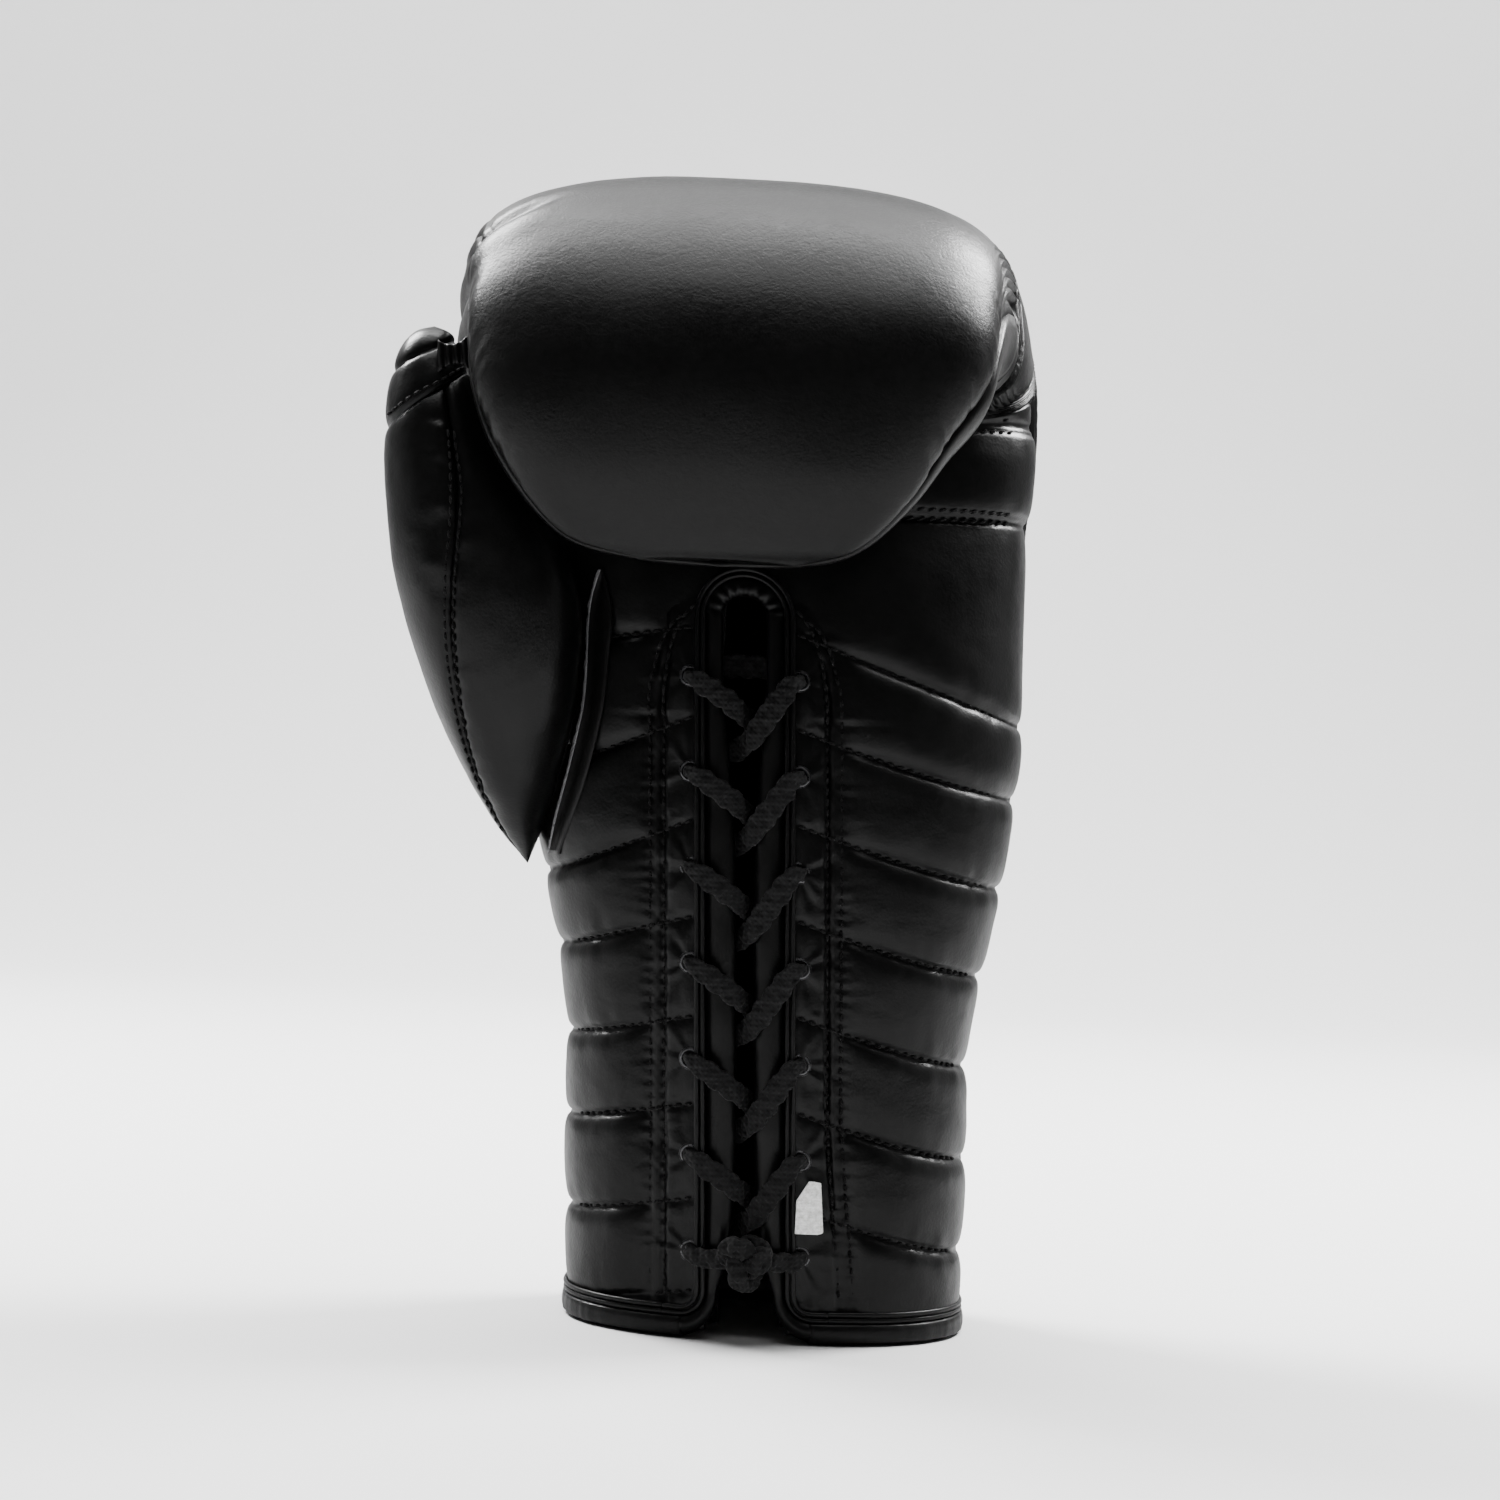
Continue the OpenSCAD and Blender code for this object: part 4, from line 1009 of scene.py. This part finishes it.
# cross-section of a facing, from under the leather to the folded edge and back: share of the way, depth
FACE_OUT = [(0.0, 4.7), (0.3, 4.7), (0.52, 4.1), (0.6, 1.1), (0.69, 0.3), (0.78, -0.15), (0.88, 0.0),
            (0.96, 0.85), (1.0, 2.2)]
FACE_IN = [(0.97, 3.2), (0.85, 3.65), (0.56, 5.1), (0.3, 5.3), (0.0, 5.3)]
FACE_REACH = 20.6  # how far a facing runs under the leather
FACE_TURN = 0.56  # share of its way at which a facing comes out from under the cord
rings = []
for kind, v in slot_path():
    ring = []
    for share_, depth in FACE_OUT + FACE_IN:
        if kind == "a":
            c, s_ = turned(v)
            r = FACE_REACH + (5.5 - FACE_REACH) * share_
            rel, z = r * c, FACE_TOP + r * s_ * (0.72 if r > 12 else 0.85)
            shown = ease(share_, 0.55, 0.8) * (depth < 3)
            pucker = 0.5 + 0.5 * math.cos(v / 180 * math.pi * 17 + 1.3 * math.sin(v / 17.0))
            depth = depth + 0.75 * shown * pucker * s_ ** 0.4
        elif kind in ("cr", "cl"):
            w = max(share_ - FACE_TURN, 0) / 0.44
            c, s_ = turned(v)
            hidden = 4 * (FACE_TURN - min(share_, FACE_TURN)) / FACE_TURN
            rel = CORNER_X - (6 - hidden + w * (CORNER_X - 6 - gap_at(CORNER_Z))) * c
            z = CORNER_Z - (6 - hidden + w * (CORNER_Z - 6.4)) * s_
            rel = rel * (1 if kind == "cr" else -1)
            depth = depth - (1.5 * s_ if share_ > FACE_TURN and depth < 3 else 0)
        else:
            z = v
            gap = gap_at(z)
            reach = FACE_REACH + (gap - FACE_REACH) * share_
            if share_ > FACE_TURN:
                reach = CORD_IN + (gap - CORD_IN) * (share_ - FACE_TURN) / 0.44
            elif share_ > 0.5:
                reach = 11.2
            rel = reach * (1 if kind == "r" else -1)
            wave = float(noise_at(z / 9.0, 1.0 if kind == "r" else 5.0, share_ * 2, 84))
            depth = depth + 0.22 * wave * (0.5 < share_)
        ring.append([rel, z, depth])
    rings.append(ring)
add_object("slot_strips", palm_tube(rings), EDGE, "hand", "leather", "slot_facing")


def slot_cord(offset, depth, r):
    """Thin cord that follows the slot at an offset from its middle and turns out along the hem."""
    pts = [[21.0, CORNER_Z - CORNER_X + offset], [CORNER_X + 1.5, CORNER_Z - CORNER_X + offset]]
    for w in np.linspace(90, 0, 9):
        c, s_ = turned(w)
        pts.append([CORNER_X - (CORNER_X - offset) * c, CORNER_Z - (CORNER_X - offset) * s_])
    pts += [[offset, z] for z in np.linspace(CORNER_Z, ARC_Z, 46)[1:]]
    half = len(pts)
    for w in np.linspace(0, 180, 25)[1:-1]:
        c, s_ = turned(w)
        pts.append([offset * c, ARC_Z + offset * s_])
    left = [[-a, b] for a, b in pts[:half]][::-1]
    path = resample(np.array([[a, b, 0] for a, b in pts + left]), 1.1)
    q = on_palm(path[:, 0], path[:, 1], depth)
    n = palm_at(path[:, 0], path[:, 1])[1]
    tang = unit(np.gradient(q, axis=0))
    width = np.cross(tang, n)
    rad = r * (1 + 0.08 * noise_at(np.arange(len(q)) / 3.0, offset, 0, 86))
    return tube_mesh(leaned(tube_rings(q, width, rad, rad, 8)))


add_object("slot_cords", join([slot_cord(CORD_IN, -0.35, 0.66), slot_cord(CORD_OUT, -0.45, 0.68)]), EDGE,
           "hand", "leather", "slot_piping")

# cord along the top of the hem, sewn down beside it
parts = []
for height in (CORNER_Z - CORNER_X + CORD_IN, CORNER_Z - CORNER_X + CORD_OUT):
    hem_t = np.full_like(hem_deg, height / STATION)
    q = mitt(hem_t, hem_deg)
    q[:, 2] = height
    keep = np.abs(q[:, 0] - SLOT_X) * (q[:, 1] < 0) + 99 * (q[:, 1] >= 0) > 20.4
    q = q[keep]
    path = q + unit(q - cavity(hem_t, hem_deg)[keep]) * 0.4
    up = np.broadcast_to(np.array([0, 0, 1.0]), path.shape)
    parts.append(tube_mesh(leaned(tube_rings(path, up, 0.68, 0.66, 8))))
add_object("hem_cord", join(parts), EDGE, "hand", "leather")

# ---------------- eyelets
EYE_X, EYE_R = 14.0, 2.2
parts = []
profile = [(EYE_R, 4.0), (EYE_R - 0.3, 0.8), (EYE_R - 0.35, 0.3), (EYE_R - 0.2, 0.0), (EYE_R + 0.08, -0.12),
           (EYE_R + 0.34, -0.05), (EYE_R + 0.5, 0.2), (EYE_R + 0.5, 0.5), (EYE_R + 0.7, -0.05),
           (EYE_R + 0.68, 3.9), (EYE_R + 1.2, 4.05), (EYE_R + 1.2, 4.35), (EYE_R + 0.2, 4.45)]
for q in range(7):
    for sgn in (-1, 1):
        c, n = palm_at(sgn * EYE_X, EYE_Z + PITCH * q)
        u = unit(np.cross(n, np.array([0, 0, 1.0])))
        w = np.cross(n, u)
        ang = circle(28)
        ring = np.array([[c + (u * math.cos(a) + w * math.sin(a)) * r - n * d for r, d in profile]
                         for a in ang])
        parts.append(tube_mesh(leaned(ring), loop=True))
add_object("eyelet_rings", join(parts), STEEL, "hand", "eyelet_metal", "eyelets")

# ---------------- lace
HALF_W, LEAN_IN = 3.3, 0.19


def lace_row(i, s):
    z, b, e = EYE_Z + PITCH * i, (7 if s > 0 else 0), EYE_X
    pts = [[s * (e - LEAN_IN * 5.9), z, 5.9, 1.75, 1.5], [s * (e - LEAN_IN * 3.6), z, 3.6, 1.7, 1.7],
           [s * (e - LEAN_IN * 0.6), z, 0.6, 1.7, 1.7], [s * e, z - 0.2, -1.7, 1.8, 1.5],
           [s * (e - 2.2), z - 1.2, -3.3, HALF_W - 0.5, 1]]
    if i == 0:
        return pts + [[s * 9.6, z - 1.0, -4.1, HALF_W - 0.5, 1.1],
                      [s * 6.2, z - 0.9, -5.4, HALF_W - 0.6, 1.3],
                      [s * 3.4, z - 0.5, -6.6, HALF_W - 1.1, 1.5]]
    return pts + [[s * 9, z - 3 - b * 0.3, -3.4, HALF_W, 1], [s * 5.2, z - 5.5 - b * 0.7, -2.3, HALF_W, 1],
                  [s * 1.9, z - 8 - b, -0.6, HALF_W, 1], [s * 0.3, z - 9.4 - b, 2.6, HALF_W, 0.95],
                  [-s * 1.4, z - 11 - b, 5.6, HALF_W, 0.95], [-s * 5, z - 14.5 - b * 0.7, 7.3, HALF_W, 1],
                  [-s * 9.5, z - 19.5 - b * 0.3, 7.9, HALF_W - 0.3, 1],
                  [-s * (e - 2.6), z - PITCH + 1, 7.3, 2.6, 1.1]]


def lace_strand(s):
    out = []
    for i in range(6, -1, -1):
        out += lace_row(i, s * (1 if (6 - i) % 2 == 0 else -1))
    return out


TOP = EYE_Z + PITCH * 6
route = lace_strand(-1)[::-1] + [[-11.4, TOP + 1, 7.0, 2.4, 1], [-6, TOP + 3, 8.4, HALF_W, 0.9],
                                 [6, TOP + 3, 8.4, HALF_W, 0.9],
                                 [11.4, TOP + 1, 7.0, 2.4, 1]] + lace_strand(1)
route = resample(np.array(route, float), 0.62)


def braided(path3, width, hw, ht, sides=26, pitch=4.6, amp=0.5, strands=6):
    """Flat braid: a flattened tube with raised plaits crossing over each other."""
    t = unit(np.gradient(path3, axis=0))
    w = unit(width - t * (t * width).sum(-1, keepdims=True))
    n = np.cross(t, w)
    s = travelled(path3)[:, None]
    a = circle(sides)[None, :]
    wave = np.maximum(np.cos(2 * np.pi * s / pitch + a * strands / 2),
                      np.cos(2 * np.pi * s / pitch - a * strands / 2))
    fuzz = (noise_at(s * 1.3, np.cos(a) * 3, np.sin(a) * 3, 90)
            + 1.6 * noise_at(s * 0.4, np.cos(a) * 2, np.sin(a) * 2, 91))
    lift = amp * (wave - 0.55) + 0.14 * fuzz
    cx, cy = spow(np.cos(a), 0.72), spow(np.sin(a), 0.72)
    hw, ht = np.broadcast_to(hw, len(path3))[:, None], np.broadcast_to(ht, len(path3))[:, None]
    return (path3[:, None] + w[:, None] * ((hw + lift) * cx)[..., None]
            + n[:, None] * ((ht + lift * 0.9) * cy)[..., None])


path3 = on_palm(*route[:, :3].T)
flat = route[:, :3]
ft = unit(np.gradient(flat, axis=0))
fw = unit(np.array([0, 1.0, 0]) - ft * ft[:, 1:2])
wdir = np.stack([fw[:, 0], fw[:, 2], fw[:, 1]], 1)
add_object("lace_braid", tube_mesh(leaned(braided(path3, wdir, route[:, 3] * 0.86, route[:, 4] * 0.95))),
           BRAID, "hand", "lace", "lace")

# the knot is a tight lump of the same braid
c0 = on_palm(np.array(0.0), np.array(21.4), -7.0)
w = circle(250)
loop = np.stack([np.sin(w) + 2 * np.sin(2 * w), -1.05 * np.sin(3 * w), np.cos(w) - 2 * np.cos(2 * w)], 1)
loop = np.stack([loop[:, 0] * 1.55, loop[:, 1] * 1.7, loop[:, 2] * 1.75], 1) + c0
ext = np.concatenate([loop[-1:], loop, loop[:1]])
width = np.cross(unit(np.gradient(ext, axis=0)), np.array([0, 1.0, 0]))
rings = braided(ext, width, 2.6, 2.1, 26, 3.4, 0.55, 6)[1:-1]
add_object("lace_tie", tube_mesh(leaned(rings), loop=True), BRAID, "hand", "lace", "lace_knot")

# ---------------- tag
lo, hi = (np.array(q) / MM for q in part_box("size_tag"))
a = on_palm(np.array(12.6), np.array(32.0), -1.3)
b = on_palm(np.array(18.6), np.array(32.0), -1.3)
ang = math.atan((b[1] - a[1]) / (b[0] - a[0]))


def tag_point(u, v, d):
    """u across from the hinge, v height, d towards the front."""
    return np.array([a[0] + u * math.cos(ang) + d * math.sin(ang),
                     a[1] + u * math.sin(ang) - d * math.cos(ang), v])


rows = []
for v_ in np.linspace(28.05, 41.45, 40):
    right = np.interp(v_, [28.5, 41.2], [7.4, 6.2]) if v_ < 41.2 else 6.2 - (v_ - 41.2) * 9
    left = 0.2 if v_ < 36.5 else 0.2 + (v_ - 36.5) * 0.6
    if v_ < 28.5:
        right = 7.4 - (28.5 - v_) * 3.0
    row = []
    for q in np.linspace(0, 1, 24):
        u = left + (max(right, left + 0.5) - left) * q
        d = 0.25 + 0.1 * math.sin(u * 1.1 + v_ * 0.15) * q + 0.02 * math.sin(v_ * 12)
        row.append(tag_point(u, v_, d))
    rows.append(row)
rows = np.array(rows)
front_dir = np.array([math.sin(ang), -math.cos(ang), 0])
verts, faces = shell_mesh(rows + front_dir * 0.2, rows - front_dir * 0.2)
middle = (verts[:, 0].min() + verts[:, 0].max()) / 2
tag_shift = np.array([(lo[0] + hi[0]) / 2, 0, 0]) - np.array([middle, 0, 0])
add_object("tag_woven", (verts + tag_shift, faces), TAG_MAT, "tag", "tag", "size_tag")

# ---------------- strip along the thumb, and the thumb's tie
STRIP = np.array([[194, -42.2, -40.8], [187, -44.4, -39.0], [180, -45.3, -38.6], [172, -45.6, -39.4],
                  [160, -46.4, -40.6], [148, -49, -43.2], [138, -51.6, -46], [128, -54.4, -49.6],
                  [120, -56.2, -52.6]], float)
strip_rows = resample(STRIP, 1.2)


def strip_outline(z, l, r):
    """Outline of the strip at a height as (x, depth)."""
    wob, raw = 0.25 * float(noise_at(z / 5.0, 0, 0, 95)), 0.18 * float(noise_at(z / 0.9, 0, 0, 96))
    return [(l + raw, -0.1), (l - 0.1 + raw, -0.9), (l + 0.2, -1.75 - 0.2 * wob), (l + 1.0, -1.55),
            (l + 1.6, -1.15), (l + (r - l) * 0.5, -1.35 + wob * 0.4), (r - 1.1, -1.5), (r - 0.2, -1.25),
            (r, -0.6), (r - 0.1, -0.12), (l + (r - l) * 0.5, -0.12)]


def cut_edge_outline(z, l, _):
    """Outline of the bare cut edge along the strip's left side."""
    raw = 0.22 * float(noise_at(z / 0.8, 3, 0, 97))
    return [(l - 0.25 + raw, -0.5), (l - 0.2 + raw, -1.5), (l + 0.15 + raw * 0.5, -2.0 + raw * 0.6),
            (l + 0.55, -1.9), (l + 0.5, -1.2), (l + 0.2, -0.5)]


for name, outline, material, nodes in (("thumb_edge_strip", strip_outline, EDGE, ["thumb_strip"]),
                                       ("thumb_strip_cut_edge", cut_edge_outline, RAW, [])):
    rings = [[[x - SLOT_X, z, d] for x, d in outline(z, l, r)] for z, l, r in strip_rows]
    add_object(name, palm_tube(rings), material, "hand", "leather", *nodes)

c = np.array([-78.6, -38.3, 246.0])
c[0] -= c[2] * LEAN
cs, sn = turned(-6)
rings = []
for u in np.linspace(-4.1, 4.1, 41):
    tall = 2.6 + 1.9 * (abs(u) / 4.1) ** 2
    ring = []
    for q in circle(32):
        y, z = 0.7 * spow(np.cos(q), 0.6), tall * spow(np.sin(q), 0.7)
        fold = 0.3 * math.cos(u * 3.1 + 0.3 * z) * (1 if math.cos(q) < 0 else 0.4)
        ring.append([c[0] + u * cs - (y + fold) * sn, c[1] + u * sn + (y + fold) * cs, c[2] + z + 0.25 * u])
    rings.append(ring)
tie = add_object("thumb_tie", tube_mesh(np.array(rings)), EDGE, None, "leather", "thumb_tab")
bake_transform(tie)


# ---------------- stitches
def sew_on_palm(points, pitch=STITCH_PITCH, length=2.2, r=0.42, slant=0.0, lift=0.36):
    pts = resample(np.array([[a, b, 0] for a, b in points], float), 1.0)
    an = palm_station(pts[:, 0] + SLOT_X, pts[:, 1])[1]
    pts = pts[(an > 104) & (an < 258)]
    if len(pts) < 5:
        return
    q, n = palm_at(pts[:, 0], pts[:, 1])
    h = palm_height(q[:, 0], q[:, 2]) + lift
    stitch_row(leaned(q + n * h[:, None]), n, pitch, length, r, 0.05, slant)


for side in (1, -1):
    top = COLUMN_Z + COLUMN_BEND_Z * np.sin(np.linspace(0.06, 1.5, 16))
    zz = np.concatenate([np.linspace(11.5, COLUMN_Z, 60), top])
    for off in (-SEAM_HALF, SEAM_HALF):
        sew_on_palm([[side * (float(column_x(side, z)) + off), z - (off * 0.8 if z > 168 else 0)]
                     for z in zz], lift=0.62)
    for k in range(8):
        last = 62 if side > 0 else -50
        if side > 0 and k == 7:
            continue
        xs = np.linspace(SLOT_X + side * 13.2, last, 24)
        row = [[x - SLOT_X, float(right_row(k, x) if side > 0 else left_row(k, x))] for x in xs]
        row = [q for q in row if q[1] > 9.5]
        if len(row) > 4:
            sew_on_palm(row)
for z0, bend in ((211.2, 0.0), (213.4, 0.0), (231.2, 2.5), (234.2, 2.5)):
    row = []
    for x in np.linspace(10, 67, 26):
        rise = 1.44 * x / 60 + bend * float(ease(x, 30, 66)) if bend else 0
        row.append([x - SLOT_X, z0 + 1.2 * x / 60 + rise])
    sew_on_palm(row, 3.0, 2.4, 0.36, 0.35)
add_object("stitches_palm", join(STITCH), THREAD, "hand", "leather")
STITCH.clear()


def sew_on_thumb(s, phi0, deg, pitch, r):
    """Stitches along stations s of the thumb."""
    p = thumb_skin(s, deg)
    n = unit(p - thumb_axis(s))
    h = thumb_height(s, phi0, deg, p) + 0.3
    stitch_row(leaned(p + n * h[:, None]), n, pitch, pitch * 0.74, r)


s_ = np.linspace(0.9, 6.4, 120)
for off in (-3.4, 2.6):
    phi0 = np.full_like(s_, FRONT_SEAM + off)
    sew_on_thumb(s_, phi0, thumb_angle(s_, phi0), STITCH_PITCH, 0.36)
deg = np.linspace(206, 346, 80)
sew_on_thumb(tip_seam(deg) + 0.13, deg + NO_SEAM, deg, 2.7, 0.34)
add_object("stitches_thumb", join(STITCH), THREAD, "thumb", "leather")
STITCH.clear()

# ---------------- stage, light and camera
TURN = turned(LEAN_DEG)


def framed(x, y, z):
    """Point given in the camera's upright frame, in mm, to the part's frame in metres."""
    return Vector(((x * TURN[0] - z * TURN[1]) * MM, y * MM, (z * TURN[0] + x * TURN[1]) * MM))


# a seamless sweep of pale paper: floor, curve and wall in one sheet
PAPER, paper_nodes, paper_shader = new_material("paper_pale", (0.84, 0.84, 0.84), 0.9, spec=0.2)
# painted shade: for glossy rays the paper's colour drops to a dark grey, so the leather reflects darker paper
# than the camera sees; this stands in for black cards round the glove that are not there
paper_painted_shade_mix = node(paper_nodes, "ShaderNodeMix", data_type="RGBA")
paper_painted_shade_mix.inputs[6].default_value = (0.84, 0.84, 0.84, 1)
paper_painted_shade_mix.inputs[7].default_value = (0.33, 0.33, 0.33, 1)
ray_kind = paper_nodes.nodes.new("ShaderNodeLightPath")
paper_nodes.links.new(ray_kind.outputs["Is Glossy Ray"], paper_painted_shade_mix.inputs[0])
paper_nodes.links.new(paper_painted_shade_mix.outputs[2], paper_shader.inputs["Base Color"])
prof = [(-6.0, 0.0), (1.1, 0.0)] + [(1.1 + 0.9 * math.sin(u), 0.9 - 0.9 * math.cos(u))
                                    for u in np.linspace(0.1, math.pi / 2, 14)] + [(2.0, 4.5)]
mesh = bpy.data.meshes.new("paper_sweep")
mesh.from_pydata([(x, y, z) for y, z in prof for x in (-4.0, 4.0)], [],
                 [(2 * i, 2 * i + 1, 2 * i + 3, 2 * i + 2) for i in range(len(prof) - 1)])
mesh.polygons.foreach_set("use_smooth", [True] * len(mesh.polygons))
mesh.materials.append(PAPER)
sweep = link("paper_sweep", mesh)
sweep.location = (0, 0, CAD_BOX[0][2] - 0.0005)


def area(name, loc, aim, size, power):
    data = bpy.data.lights.new(name, "AREA")
    data.shape = "RECTANGLE"
    data.size, data.size_y = size
    data.energy = power
    obj = link(name, data)
    obj.location = loc
    obj.rotation_mode = "QUATERNION"
    obj.rotation_quaternion = (Vector(aim) - Vector(loc)).to_track_quat("-Z", "Y")


area("light_top", (0.0, 0.55, 1.2), (0, 0, 0.25), (1.0, 0.5), 4.8)
area("light_front", (0.0, -0.35, 1.35), (0, 0, 0.15), (0.9, 0.5), 4)
area("light_left", (-0.75, 0.5, 1.1), (-0.05, 0, 0.25), (0.45, 0.55), 42)
area("light_right", (0.75, 0.5, 1.1), (0.05, 0, 0.25), (0.4, 0.5), 40)
area("light_wall", (0.0, 0.3, 1.9), (0, 1.9, 0.5), (2.5, 0.8), 76)

# the room is dim in front of the palm side and pale behind it; a camera sees the same pale grey all round
world = bpy.data.worlds.new("studio")
bpy.context.scene.world = world
world.use_nodes = True
wt = world.node_tree
room = wt.nodes["Background"]
room.inputs["Strength"].default_value = 1.0
split = wt.nodes.new("ShaderNodeSeparateXYZ")
wt.links.new(wt.nodes.new("ShaderNodeTexCoord").outputs["Generated"], split.inputs[0])
front = wt.nodes.new("ShaderNodeMapRange")
front.inputs["From Min"].default_value = -0.75
front.inputs["From Max"].default_value = 0.35
wt.links.new(split.outputs["Y"], front.inputs["Value"])
wt.links.new(ramp(wt, front.outputs["Result"], [(0.0, 0.05), (0.45, 0.11), (1.0, 0.5)]), room.inputs["Color"])
seen = wt.nodes.new("ShaderNodeBackground")
seen.inputs["Color"].default_value = (0.71, 0.71, 0.715, 1)
choose = wt.nodes.new("ShaderNodeMixShader")
wt.links.new(wt.nodes.new("ShaderNodeLightPath").outputs["Is Camera Ray"], choose.inputs["Fac"])
wt.links.new(room.outputs[0], choose.inputs[1])
wt.links.new(seen.outputs[0], choose.inputs[2])
wt.links.new(choose.outputs[0], wt.nodes["World Output"].inputs["Surface"])

cam_data = bpy.data.cameras.new("camera")
cam_data.sensor_width = 36.0
cam_data.lens = 81.5
cam_data.clip_end = 50
cam = link("camera", cam_data)
cam.location = framed(-3.2, -900, 150)
cam.rotation_mode = "XYZ"
cam.rotation_euler = (math.pi / 2, -math.radians(LEAN_DEG), 0)
bpy.context.scene.camera = cam
